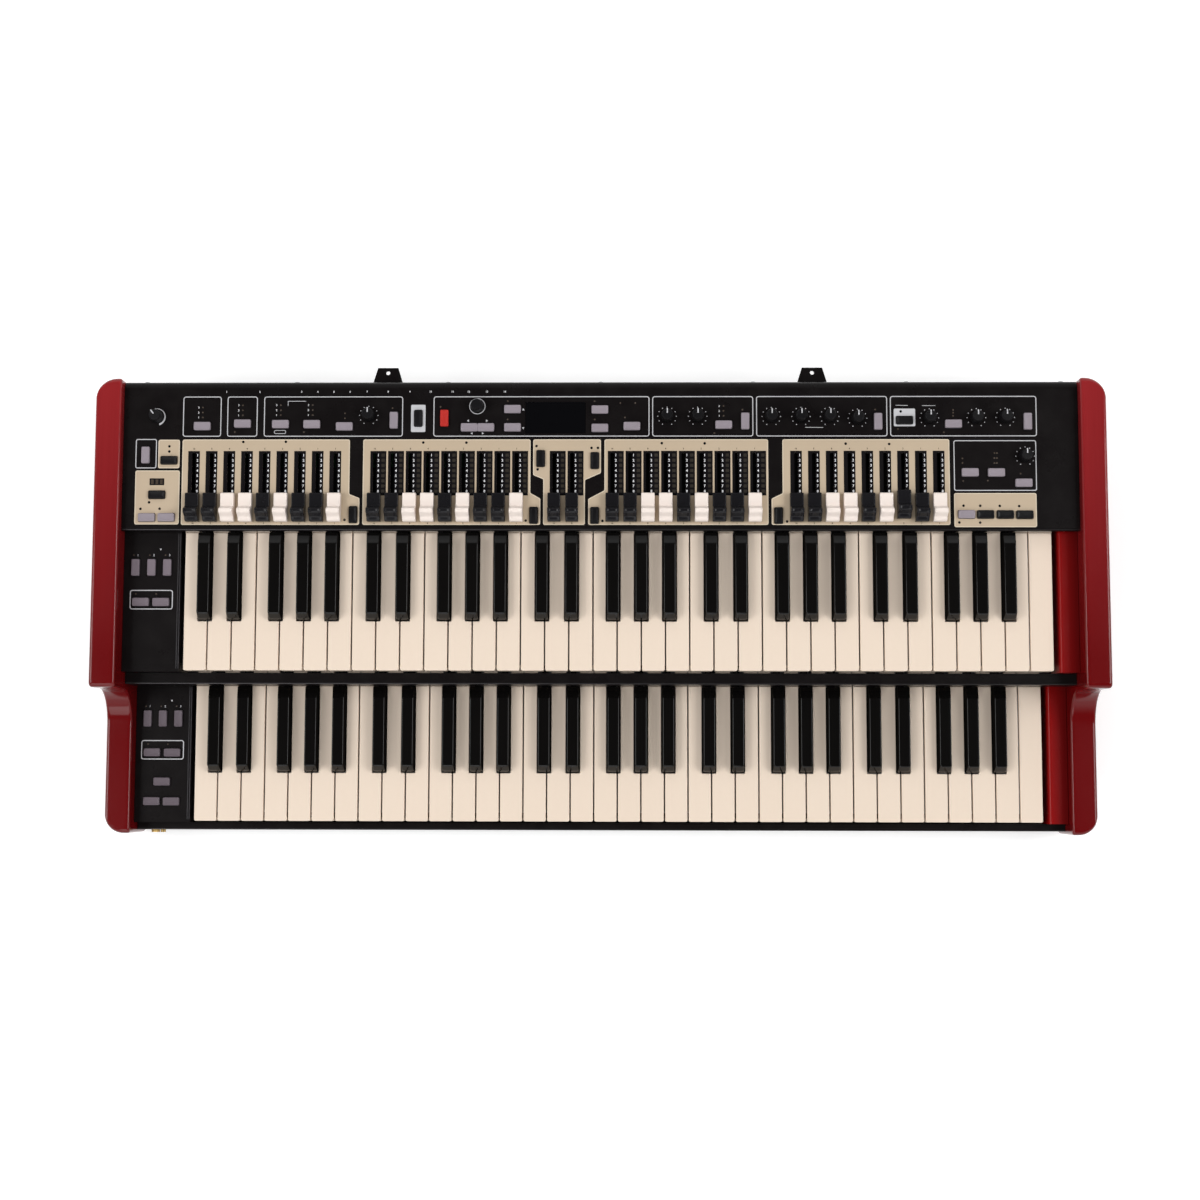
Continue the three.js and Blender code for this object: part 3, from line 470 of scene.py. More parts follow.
@dataclass(frozen=True)
class Fading(Finish):
    """A finish whose colour changes along an axis of the part.

    Attributes:
        dark: the colour at the low end of the axis.
        front: where the low end is, in metres.
        rear: where the change ends, in metres.
        axis: the axis.
    """

    dark: Colour = (0.1, 0.003, 0.004)
    front: float = -0.06
    rear: float = 0.2
    axis: str = "Y"

    def shaded(self, tree: Tree, colour: bpy.types.NodeSocket) -> bpy.types.NodeSocket:
        """Changes the colour from the high end to the low end.

        Args:
            tree: the material's tree.
            colour: the colour with its texture.

        Returns:
            The socket with the colour that changes along the axis.
        """
        where = tree.along(tree.place(), self.axis)
        share = tree.spread(where, low=1.0, high=0.0, start=self.front, end=self.rear)
        return tree.blend(share, colour, self.dark)


LACQUER = Fading(
    "red_lacquer", (0.32, 0.0205, 0.0235), (0.24, 0.0125, 0.015), 0.14, 0.24, Texture.TIMBER,
    scale=420.0, depth=0.000012, specular=0.08, coat=0.5, slot="cheek_lacquer",
    dark=(0.135, 0.002, 0.003),
)
STAINED = Fading(
    "stained_block", (0.145, 0.004, 0.0045), (0.11, 0.003, 0.0035), 0.16, 0.28, Texture.TIMBER,
    scale=520.0, depth=0.00002, specular=0.15, slot="cheek_lacquer", dark=(0.33, 0.0045, 0.0045),
    front=0.441, rear=0.463, axis="X",
)
STEEL_BLACK = Finish(
    "black_paint", (0.0062, 0.0050, 0.0052), (0.0085, 0.007, 0.0072), 0.24, 0.34, scale=1600.0,
    depth=0.00002, specular=0.07, dust=0.006,
)
IVORY = Finish(
    "cream_polish", (0.86, 0.725, 0.60), (0.83, 0.695, 0.57), 0.16, 0.28, scale=300.0,
    depth=0.000004, specular=0.2, slot="natural_keys",
)
EBONY = Finish(
    "black_polish", (0.0028, 0.0024, 0.0022), (0.0045, 0.004, 0.0038), 0.07, 0.14, scale=300.0,
    depth=0.000003, specular=0.28, slot="sharp_keys",
)
EBONY_SIDE = Finish(
    "black_key_side", (0.0032, 0.0028, 0.0026), (0.005, 0.0045, 0.004), 0.5, 0.65, scale=600.0,
    depth=0.000006, specular=0.003, slot="sharp_keys",
)
CAP_WHITE = Finish(
    "white_cap_plastic", (0.93, 0.83, 0.76), (0.90, 0.79, 0.72), 0.25, 0.38, specular=0.25,
    slot="white_caps",
)
CAP_BLACK = Finish(
    "black_cap_plastic", (0.0075, 0.007, 0.0085), (0.011, 0.0105, 0.0125), 0.2, 0.32,
    specular=0.22, slot="black_caps",
)
PLASTIC = Finish(
    "satin_black_plastic", (0.005, 0.0048, 0.0055), (0.008, 0.0075, 0.0085), 0.3, 0.45,
    scale=1400.0, specular=0.2, depth=0.00002, slot="black_plastic",
)
GREY = Finish(
    "satin_grey_plastic", (0.315, 0.275, 0.308), (0.28, 0.245, 0.276), 0.4, 0.55, scale=1500.0,
    specular=0.2, depth=0.00002, slot="grey_buttons",
)
DIM_GREY = Fading(
    "shaded_grey_plastic", (0.21, 0.175, 0.20), (0.185, 0.155, 0.178), 0.4, 0.55, scale=1500.0,
    specular=0.15, depth=0.00002, slot="grey_buttons", dark=(0.135, 0.11, 0.128), front=-0.12,
    rear=0.03,
)
RED = Finish(
    "satin_red_plastic", (0.53, 0.03, 0.022), (0.46, 0.022, 0.017), 0.42, 0.55, scale=1500.0,
    specular=0.2, depth=0.00002, slot="red_button",
)
ZINC = Finish(
    "zinc_plate", (0.5, 0.51, 0.52), (0.42, 0.43, 0.45), 0.3, 0.5, Texture.ROLLED, scale=1500.0,
    metallic=1.0, slot="bare_steel",
)
BOARD = Finish(
    "green_board", (0.012, 0.09, 0.03), (0.02, 0.13, 0.05), 0.35, 0.5, scale=220.0, depth=0.00002,
    slot="circuit_board",
)
GILT = Finish(
    "dull_gilt", (0.52, 0.36, 0.14), (0.42, 0.28, 0.10), 0.25, 0.42, Texture.ROLLED, scale=1200.0,
    metallic=1.0, slot="socket_brass",
)
GLASS = Finish(
    "dark_window", (0.0022, 0.0022, 0.0028), (0.003, 0.003, 0.0038), 0.06, 0.12, scale=200.0,
    depth=0.000002, specular=0.2, slot="display_glass",
)
RUBBER = Finish(
    "matt_rubber", (0.01, 0.01, 0.01), (0.018, 0.018, 0.018), 0.8, 0.95, scale=1800.0,
    depth=0.00006, specular=0.2, slot="foot_rubber",
)
BEIGE = Finish(
    "beige_print", (0.56, 0.45, 0.325), (0.51, 0.405, 0.29), 0.5, 0.65, scale=1800.0,
    specular=0.1, dust=0.03,
)
BEIGE_EDGE = Finish(
    "pale_print_edge", (0.74, 0.64, 0.50), (0.68, 0.58, 0.45), 0.5, 0.65, scale=1800.0,
    specular=0.1,
)
PALE_PRINT = Finish(
    "pale_print", (0.60, 0.60, 0.62), (0.53, 0.53, 0.55), 0.5, 0.65, scale=1800.0, specular=0.15,
)
DARK_PRINT = Finish(
    "dark_print", (0.0055, 0.0045, 0.0055), (0.008, 0.007, 0.008), 0.32, 0.45, scale=1800.0,
    specular=0.08,
)
NUMERAL = Finish(
    "white_numeral", (0.88, 0.88, 0.90), (0.82, 0.82, 0.84), 0.5, 0.65, scale=1800.0,
    specular=0.15,
)
LAMP = Finish(
    "dim_lamp", (0.05, 0.036, 0.026), (0.075, 0.055, 0.04), 0.2, 0.3, scale=2500.0, specular=0.3,
)
LAMP_WINDOW = Finish(
    "lamp_window", (0.028, 0.0235, 0.019), (0.042, 0.035, 0.028), 0.2, 0.35, scale=2500.0,
    specular=0.2,
)
PALE_STRIP_GREY = Finish(
    "pale_strip_grey", (0.042, 0.039, 0.043), (0.03, 0.028, 0.031), 0.3, 0.45, scale=1500.0,
    specular=0.3,
)
# Painted highlight: pale lines laid on the front bends, brightest at the left. Here the dark end holds the
# bright colour.
PAINTED_BEND_HIGHLIGHT = Fading(
    "painted_bend_highlight", (0.02, 0.0195, 0.021), (0.015, 0.0145, 0.0155), 0.25, 0.4, scale=1500.0,
    specular=0.3, dark=(0.11, 0.104, 0.112), front=-0.45, rear=0.05, axis="X",
)


# Outlines in the plane


def rectangle(x0: float, y0: float, x1: float, y1: float) -> list[Flat]:
    """Gives a rectangle's corners, anticlockwise."""
    return [(x0, y0), (x1, y0), (x1, y1), (x0, y1)]


def centred(middle: Flat, width: float, depth: float) -> list[Flat]:
    """Gives a rectangle round a middle."""
    x, y = middle
    return rectangle(x - width / 2, y - depth / 2, x + width / 2, y + depth / 2)


def circle(middle: Flat, radius: float, sides: int = 24) -> list[Flat]:
    """Gives a circle as a polygon."""
    turns = [math.tau * i / sides for i in range(sides)]
    return [(middle[0] + radius * math.cos(t), middle[1] + radius * math.sin(t)) for t in turns]


def eased(outline: Sequence[Flat], radii: float | Sequence[float], steps: int = 4) -> list[Flat]:
    """Replaces each corner of a closed outline by an arc.

    Args:
        outline: the corners in order.
        radii: one radius, or one for each corner.
        steps: pieces in each arc.

    Returns:
        The outline with its corners rounded.
    """
    result: list[Flat] = []
    count = len(outline)
    sizes = [radii] * count if isinstance(radii, (int, float)) else list(radii)
    for i, size in enumerate(sizes):
        here = Vector(outline[i])
        back = Vector(outline[i - 1]) - here
        ahead = Vector(outline[(i + 1) % count]) - here
        u, v = back.normalized(), ahead.normalized()
        angle = u.angle(v)
        if size <= 0 or angle > math.pi - 0.02:
            result.append(tuple(here))
            continue
        reach = min(size / math.tan(angle / 2), 0.49 * back.length, 0.49 * ahead.length)
        radius = reach * math.tan(angle / 2)
        middle = here + (u + v).normalized() * (radius / math.sin(angle / 2))
        start, end = here + u * reach - middle, here + v * reach - middle
        turn = start.angle_signed(end)
        for k in range(steps + 1):
            result.append(tuple(middle + Matrix.Rotation(-turn * k / steps, 2) @ start))
    return result


def inset(outline: Sequence[Flat], by: float) -> list[Flat]:
    """Moves an anticlockwise outline inwards.

    Args:
        outline: the outline.
        by: how far, negative to move it outwards.

    Returns:
        The outline moved, with as many points.
    """
    if not by:
        return list(outline)
    moved: list[Flat] = []
    count = len(outline)
    for i in range(count):
        here = Vector(outline[i])
        first = (here - Vector(outline[i - 1])).normalized()
        second = (Vector(outline[(i + 1) % count]) - here).normalized()
        a, b = Vector((-first.y, first.x)), Vector((-second.y, second.x))
        moved.append(tuple(here + (a + b) * (by / max(1 + a.dot(b), 0.25))))
    return moved


def quarter(radius: float, steps: int) -> list[tuple[float, float]]:
    """Gives a rounded edge from its side to its top.

    Args:
        radius: the edge's radius.
        steps: pieces in the arc.

    Returns:
        How far in each point lies, and how far below the top.
    """
    turns = [i / steps * math.pi / 2 for i in range(steps + 1)]
    return [(radius * (1 - math.cos(t)), radius * (1 - math.sin(t))) for t in turns]


def slope(height: float, start: float, end: float, reach: float) -> float:
    """Gives how far a sloped face has come at a height.

    Args:
        height: the height.
        start: where the slope starts.
        end: where it ends.
        reach: how far it comes in all.

    Returns:
        The distance, from 0 to the reach.
    """
    return reach * min(max(height - start, 0) / (end - start), 1)


def middle_of(outline: Sequence[Flat]) -> Flat:
    """Gives the middle of an outline's points."""
    return sum(p[0] for p in outline) / len(outline), sum(p[1] for p in outline) / len(outline)


def inside(point: Flat, outline: Sequence[Flat]) -> bool:
    """Tells whether a point lies inside a closed outline.

    Args:
        point: the point.
        outline: the outline.

    Returns:
        Whether the point lies inside.
    """
    x, y = point
    hit = False
    for (x0, y0), (x1, y1) in zip(outline, [*outline[1:], outline[0]]):
        if (y0 > y) != (y1 > y) and x < (x1 - x0) * (y - y0) / (y1 - y0) + x0:
            hit = not hit
    return hit


def ribbon(points: Sequence[Flat], width: float) -> list[Flat]:
    """Gives the outline of a line of some width.

    Args:
        points: the line's points.
        width: its width.

    Returns:
        A closed outline round the line.
    """
    left: list[Flat] = []
    right: list[Flat] = []
    for i, place in enumerate(points):
        here = Vector(place)
        before = here - Vector(points[i - 1]) if i else Vector(points[1]) - here
        after = Vector(points[i + 1]) - here if i + 1 < len(points) else before
        a, b = before.normalized(), after.normalized()
        side = Vector((-(a + b).y, (a + b).x)).normalized()
        reach = width / 2 / max(side.dot(Vector((-a.y, a.x))), 0.4)
        left.append(tuple(here + side * reach))
        right.append(tuple(here - side * reach))
    return right + left[::-1]


# Meshes


class Draft:
    """Gathers points and faces in millimetres and makes them into one object."""

    def __init__(self) -> None:
        """Starts with nothing."""
        self.points: list[Point] = []
        self.faces: list[tuple[int, ...]] = []
        self.marks: list[int] = []

    def add(self, points: Iterable[Point], faces: Iterable[Sequence[int]], mark: int = 0) -> None:
        """Adds a shape.

        Args:
            points: its points.
            faces: its faces, counted from its first point.
            mark: which of the piece's finishes it has.
        """
        first = len(self.points)
        self.points.extend(points)
        for face in faces:
            self.faces.append(tuple(first + i for i in face))
            self.marks.append(mark)

    def loft(self, rings: Sequence[Sequence[Point]], mark: int = 0) -> None:
        """Adds a closed shape through rings of equal count.

        Args:
            rings: the rings in order.
            mark: which of the piece's finishes it has.
        """
        count = len(rings[0])
        points = [point for ring in rings for point in ring]
        faces: list[tuple[int, ...]] = [tuple(range(count))]
        for level in range(len(rings) - 1):
            low = level * count
            for i in range(count):
                j = (i + 1) % count
                faces.append((low + i, low + j, low + count + j, low + count + i))
        last = (len(rings) - 1) * count
        faces.append(tuple(range(last, last + count)))
        self.add(points, faces, mark)

    def tower(self, outline: Sequence[Flat], levels: Sequence[tuple[float, float]], mark: int = 0) -> None:
        """Adds a shape that stands on an outline.

        Args:
            outline: its plan, anticlockwise.
            levels: how far the outline moves inwards, and the height, for each ring.
            mark: which of the piece's finishes it has.
        """
        self.loft([[(x, y, z) for x, y in inset(outline, by)] for by, z in levels], mark)

    def pillow(
        self, outline: Sequence[Flat], z0: float, z1: float, edge: float = 0.6, mark: int = 0
    ) -> None:
        """Adds an upright shape with rounded top edges.

        Args:
            outline: its plan, anticlockwise.
            z0: its underside.
            z1: its top.
            edge: radius of the top edges.
            mark: which of the piece's finishes it has.
        """
        levels = [(0.0, z0), *((draw, z1 - drop) for draw, drop in quarter(edge, 4))]
        self.tower(outline, levels, mark)

    def slab(
        self, points: Sequence[Flat], faces: Sequence[Sequence[int]], z0: float, z1: float, mark: int = 0
    ) -> None:
        """Adds a thin closed plate over flat faces.

        Args:
            points: the flat points.
            faces: the flat faces.
            z0: its underside.
            z1: its top.
            mark: which of the piece's finishes it has.
        """
        count = len(points)
        solid = [(x, y, z1) for x, y in points] + [(x, y, z0) for x, y in points]
        edges = [(a, face[(i + 1) % len(face)]) for face in faces for i, a in enumerate(face)]
        inner = set(edges)
        made = [tuple(face) for face in faces]
        made += [tuple(count + i for i in reversed(face)) for face in faces]
        made += [(b, a, count + a, count + b) for a, b in edges if (b, a) not in inner]
        self.add(solid, made, mark)

    def plate(
        self, outline: Sequence[Flat], holes: Sequence[Sequence[Flat]], z0: float, z1: float, mark: int = 0
    ) -> None:
        """Adds a thin closed plate with holes.

        Args:
            outline: its edge.
            holes: the edges of its holes.
            z0: its underside.
            z1: its top.
            mark: which of the piece's finishes it has.
        """
        points: list[Vector] = []
        edges: list[tuple[int, int]] = []
        for loop in (outline, *holes):
            first = len(points)
            points.extend(Vector(place) for place in loop)
            count = len(loop)
            edges.extend((first + i, first + (i + 1) % count) for i in range(count))
        flat, _, faces, *_ = delaunay_2d_cdt(points, edges, [], 0, 1e-5)
        kept = []
        for face in faces:
            spot = middle_of([flat[i] for i in face])
            if inside(spot, outline) and not any(inside(spot, hole) for hole in holes):
                kept.append(tuple(face))
        self.slab([(p.x, p.y) for p in flat], kept, z0, z1, mark)

    def lathe(
        self,
        axis: Matrix,
        profile: Sequence[tuple[float, float]],
        sides: int = 32,
        flutes: int = 0,
        ripple: float = 0.0,
        mark: int = 0,
    ) -> None:
        """Adds a turned shape.

        Args:
            axis: where it stands, its Z along the axis.
            profile: radius and height of each ring.
            sides: points round it.
            flutes: how many ripples run round the rings between the first and the last two.
            ripple: depth of a ripple.
            mark: which of the piece's finishes it has.
        """
        rings = []
        for level, (radius, height) in enumerate(profile):
            cut = ripple if flutes and 0 < level < len(profile) - 2 else 0.0
            ring = []
            for i in range(sides):
                turn = math.tau * i / sides
                reach = radius - cut * (0.5 - 0.5 * math.cos(flutes * turn))
                place = axis @ Vector((reach * math.cos(turn), reach * math.sin(turn), height))
                ring.append(tuple(place))
            rings.append(ring)
        self.loft(rings, mark)

    def take(self, net: bmesh.types.BMesh, mark: int = 0) -> None:
        """Adds a mesh that is in metres, and frees it.

        Args:
            net: the mesh.
            mark: which of the piece's finishes it has.
        """
        net.verts.index_update()
        points = [tuple(vertex.co / MM) for vertex in net.verts]
        self.add(points, [[v.index for v in face.verts] for face in net.faces], mark)
        net.free()

    def carry(self, node: str, place: Point, normal: Point, mark: int = 0) -> None:
        """Adds what a frame node has behind a plane.

        Args:
            node: the node's name.
            place: a point on the plane.
            normal: the side that is left off.
            mark: which of the piece's finishes it has.
        """
        net = plain_copy(node)
        geometry = [*net.verts, *net.edges, *net.faces]
        bmesh.ops.bisect_plane(
            net, geom=geometry, dist=1e-7, plane_co=Vector(place) * MM, plane_no=normal, clear_outer=True
        )
        open_edges = [edge for edge in net.edges if edge.is_boundary]
        bmesh.ops.holes_fill(net, edges=open_edges, sides=0)
        self.take(net, mark)

    def make(
        self,
        name: str,
        finishes: Sequence[Finish],
        body: str,
        node: Optional[str] = None,
        crease: float = 34.0,
        evened: bool = True,
    ) -> bpy.types.Object:
        """Makes the object, dresses it and hangs it on its body.

        Args:
            name: the piece's name.
            finishes: its finishes, in the order of the marks.
            body: the frame body that it rides on.
            node: the frame node that it stands for.
            crease: edges sharper than this, in degrees, stay sharp.
            evened: whether large faces keep their own shading beside rounded edges.

        Returns:
            The object.
        """
        mesh = bpy.data.meshes.new(name)
        mesh.from_pydata([tuple(c * MM for c in p) for p in self.points], [], self.faces)
        mesh.polygons.foreach_set("material_index", self.marks)
        net = bmesh.new()
        net.from_mesh(mesh)
        bmesh.ops.recalc_face_normals(net, faces=net.faces)
        for face in net.faces:
            face.smooth = True
        net.to_mesh(mesh)
        net.free()
        mesh.set_sharp_from_angle(angle=math.radians(crease))
        piece = bpy.data.objects.new(name, mesh)
        bpy.context.scene.collection.objects.link(piece)
        for finish in finishes:
            mesh.materials.append(finish.material())
        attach(piece, body)
        if node:
            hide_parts(node)
        if evened:
            even = piece.modifiers.new("even shading", "WEIGHTED_NORMAL")
            even.keep_sharp = True
        log.info("%s: %d faces on %s", name, len(mesh.polygons), body)
        return piece


def plain_copy(node: str) -> bmesh.types.BMesh:
    """Copies a frame node's shape with its points joined and its flat faces whole.

    Args:
        node: the node's name.

    Returns:
        The copy, in metres.
    """
    net = bmesh.new()
    net.from_mesh(frame["nodes"][node].data)
    bmesh.ops.remove_doubles(net, verts=net.verts, dist=2e-6)
    bmesh.ops.dissolve_limit(net, angle_limit=math.radians(0.4), verts=net.verts, edges=net.edges)
    return net


def softened(
    node: str, body: str, finish: Finish, edge: float = 0.0, crease: float = 30.0
) -> bpy.types.Object:
    """Makes a piece of a frame node's shape with smooth bends and eased edges.

    Args:
        node: the node's name.
        body: the body that it rides on.
        finish: its finish.
        edge: width of the eased edges, in millimetres.
        crease: edges sharper than this, in degrees, stay sharp.

    Returns:
        The object.
    """
    draft = Draft()
    draft.take(plain_copy(node))
    piece = draft.make(f"{node}_dressed", [finish], body, node, crease, not edge)
    if edge:
        bevel = piece.modifiers.new("eased edges", "BEVEL")
        bevel.width = edge * MM
        bevel.segments = 3
        bevel.limit_method = "ANGLE"
        bevel.angle_limit = math.radians(50)
        bevel.harden_normals = True
    return piece


class Glyphs:
    """Plain numerals as flat faces.

    Attributes:
        weight: how much bolder than the plain letter form.
        thickness: thickness of the print.
        known: the numerals made so far.
    """

    weight = 0.022
    thickness = 0.05

    def __init__(self) -> None:
        """Starts with none made."""
        self.known: dict[str, tuple[list[Flat], list[tuple[int, ...]]]] = {}

    def shape(self, text: str) -> tuple[list[Flat], list[tuple[int, ...]]]:
        """Gives a numeral one unit high, round its middle.

        Args:
            text: the numeral.

        Returns:
            Its points and faces.
        """
        if text in self.known:
            return self.known[text]
        curve = bpy.data.curves.new("numeral", "FONT")
        curve.body = text
        curve.resolution_u = 2
        curve.offset = self.weight
        holder = bpy.data.objects.new("numeral", curve)
        bpy.context.scene.collection.objects.link(holder)
        bpy.context.view_layer.update()
        view = bpy.context.evaluated_depsgraph_get()
        mesh = bpy.data.meshes.new_from_object(holder.evaluated_get(view))
        net = bmesh.new()
        net.from_mesh(mesh)
        bmesh.ops.remove_doubles(net, verts=net.verts, dist=1e-4)
        net.verts.index_update()
        xs = [v.co.x for v in net.verts]
        ys = [v.co.y for v in net.verts]
        size = max(ys) - min(ys)
        across, up = (max(xs) + min(xs)) / 2, (max(ys) + min(ys)) / 2
        points = [((x - across) / size, (y - up) / size) for x, y in zip(xs, ys)]
        faces = []
        for face in net.faces:
            loop = [v.index for v in face.verts]
            faces.append(tuple(loop if face.normal.z >= 0 else loop[::-1]))
        net.free()
        bpy.data.objects.remove(holder)
        bpy.data.curves.remove(curve)
        bpy.data.meshes.remove(mesh)
        self.known[text] = (points, faces)
        return self.known[text]

    def write(self, draft: Draft, text: str, place: Flat, height: float, z: float, mark: int) -> None:
        """Adds a numeral to a draft.

        Args:
            draft: the draft.
            text: the numeral.
            place: its middle.
            height: its height.
            z: what it lies on.
            mark: its finish.
        """
        points, faces = self.shape(text)
        moved = [(place[0] + x * height, place[1] + y * height) for x, y in points]
        draft.slab(moved, faces, z, z + self.thickness, mark)


GLYPHS = Glyphs()


# Where the controls are


BUTTON_LONG, BUTTON_SHORT = 16.3, 8.0
BUTTON_CORNER = 1.3
BUTTON_ROOT = 0.6
# The cap above its root: how much wider than the plan, and the height from the top
BUTTON_RINGS = (
    (0.0, -0.75), (-0.06, -0.45), (-0.22, -0.2), (-0.45, -0.05), (-0.75, 0.0), (-1.15, -0.06),
    (-1.8, -0.25), (-2.6, -0.36), (-3.3, -0.4),
)


class Lie(Enum):
    """Which way a push button lies."""

    LYING = "lying"
    STANDING = "standing"


@dataclass(frozen=True)
class Button:
    """One push button.

    Attributes:
        x: its middle along X.
        y: its middle along Y.
        lie: which way it lies.
    """

    x: float
    y: float
    lie: Lie = Lie.LYING

    def outline(self, grow: float = 0.0) -> list[Flat]:
        """Gives its plan.

        Args:
            grow: how much wider on every side, below 0 for a smaller ring.

        Returns:
            The outline with rounded corners.
        """
        wide, deep = BUTTON_LONG + 2 * grow, BUTTON_SHORT + 2 * grow
        if self.lie is Lie.STANDING:
            wide, deep = deep, wide
        return eased(centred((self.x, self.y), wide, deep), max(BUTTON_CORNER + grow, 0.25))

    def cap(self, draft: Draft, seat: float, rise: float) -> None:
        """Adds its cap, with rounded edges and a dished top.

        Args:
            draft: the draft to add it to.
            seat: top of what it stands in.
            rise: how far it stands out.
        """
        levels = [(0.0, seat - BUTTON_ROOT), *((grow, seat + rise + z) for grow, z in BUTTON_RINGS)]
        draft.loft([[(x, y, z) for x, y in self.outline(grow)] for grow, z in levels])


def lying(*places: Flat) -> list[Button]:
    """Gives buttons that lie along X."""
    return [Button(x, y) for x, y in places]


def standing(*places: Flat) -> list[Button]:
    """Gives buttons that stand along Y."""
    return [Button(x, y, Lie.STANDING) for x, y in places]


GREY_BUTTONS = lying(
    (-387.2, 166.5), (-347.9, 168.9), (-310.8, 168.4), (-280.2, 168.3), (-248.4, 166.1),
    (-126.6, 165.1), (-110.4, 165.1), (-84.5, 183.1), (-84.4, 165.1), (0.6, 182.6), (0.6, 164.5),
    (31.7, 166.3), (120.9, 167.6), (343.6, 168.4), (359.0, 120.7), (384.3, 120.6), (410.6, 110.5),
    (355.0, 79.8), (-439.7, 76.7), (-420.6, 76.8),
) + standing((-200.2, 172.2), (141.8, 171.2), (270.7, 170.8), (415.5, 170.8), (-442.0, 138.0))
BLACK_BUTTONS = lying(
    (296.3, 172.1), (373.3, 79.7), (392.3, 79.6), (411.1, 79.4), (-419.2, 132.9), (-430.3, 99.0)
) + standing(
    (-176.4, 174.2), (-56.9, 134.5), (-4.3, 132.5), (-238.9, 79.5), (-63.5, 78.8), (-4.4, 78.6),
    (173.6, 78.5),
)
RED_BUTTONS = standing((-150.9, 174.2))
UPPER_BLOCK_BUTTONS = standing((-452.7, 29.4), (-437.0, 29.4), (-421.6, 29.4)) + lying(
    (-446.9, -4.4), (-427.1, -4.5)
)
LOWER_BLOCK_BUTTONS = standing((-452.7, -115.7), (-437.4, -115.7), (-421.9, -115.7)) + lying(
    (-447.6, -149.5), (-427.4, -149.7), (-437.1, -178.6), (-447.0, -198.1), (-427.3, -198.3)
)
KNOB_PLACES: dict[str, tuple[str, float, float]] = {
    "master_level_knob": ("master_level", -431.99, 175.95),
    "rotor_amount_knob": ("rotor_amount", -224.82, 177.13),
    "program_encoder": ("program", -118.91, 186.13),
    "modulation_rate_knob": ("modulation_rate", 65.96, 176.1),
    "modulation_amount_knob": ("modulation_amount", 95.69, 176.1),
    "equaliser_bass_knob": ("equaliser_bass", 167.22, 175.81),
    "equaliser_middle_knob": ("equaliser_middle", 196.02, 175.81),
    "equaliser_frequency_knob": ("equaliser_frequency", 223.89, 175.81),
    "equaliser_treble_knob": ("equaliser_treble", 250.83, 174.03),
    "delay_tempo_knob": ("delay_tempo", 320.5, 174.33),
    "delay_feedback_knob": ("delay_feedback", 366.03, 174.48),
    "delay_amount_knob": ("delay_amount", 393.9, 174.77),
    "reverb_amount_knob": ("reverb_amount", 412.48, 136.72),
}
BAR_PITCH = 17.25
BARS_IN_ROW = 9
WHITE_SEATS = (2, 3, 5, 8)
BLACK_SEATS = (0, 1, 4, 6, 7)
ROW_STARTS = {"a": -394.8, "b": -218.3, "c": 12.7, "d": 190.9}
LIT_ROWS = ("b", "c")
BASS_BARS = (-43.7, -26.4)
SLOT_HALF = 1.8
SLOT_FRONT, SLOT_REAR = 93.9, 140.0
DISPLAY_MIDDLE: Flat = (-42.7, 174.8)


def all_slots() -> list[list[Flat]]:
    """Gives the plan of every slot that a drawbar's stem runs in.

    Returns:
        The slots, row by row.
    """
    centres = [x + BAR_PITCH * k for x in ROW_STARTS.values() for k in range(BARS_IN_ROW)]
    centres += BASS_BARS
    return [rectangle(x - SLOT_HALF, SLOT_FRONT, x + SLOT_HALF, SLOT_REAR) for x in centres]


def panel_holes() -> list[list[Flat]]:
    """Gives the plan of every hole in the top panel that print must leave free.

    Returns:
        The holes of the buttons, the knobs and the drawbars.
    """
    button_room, knob_hole = 0.35, 4.0
    holes = [b.outline(button_room) for b in (*GREY_BUTTONS, *BLACK_BUTTONS, *RED_BUTTONS)]
    holes += [circle((x, y), knob_hole, 12) for _, x, y in KNOB_PLACES.values()]
    return holes + all_slots()


# Wood


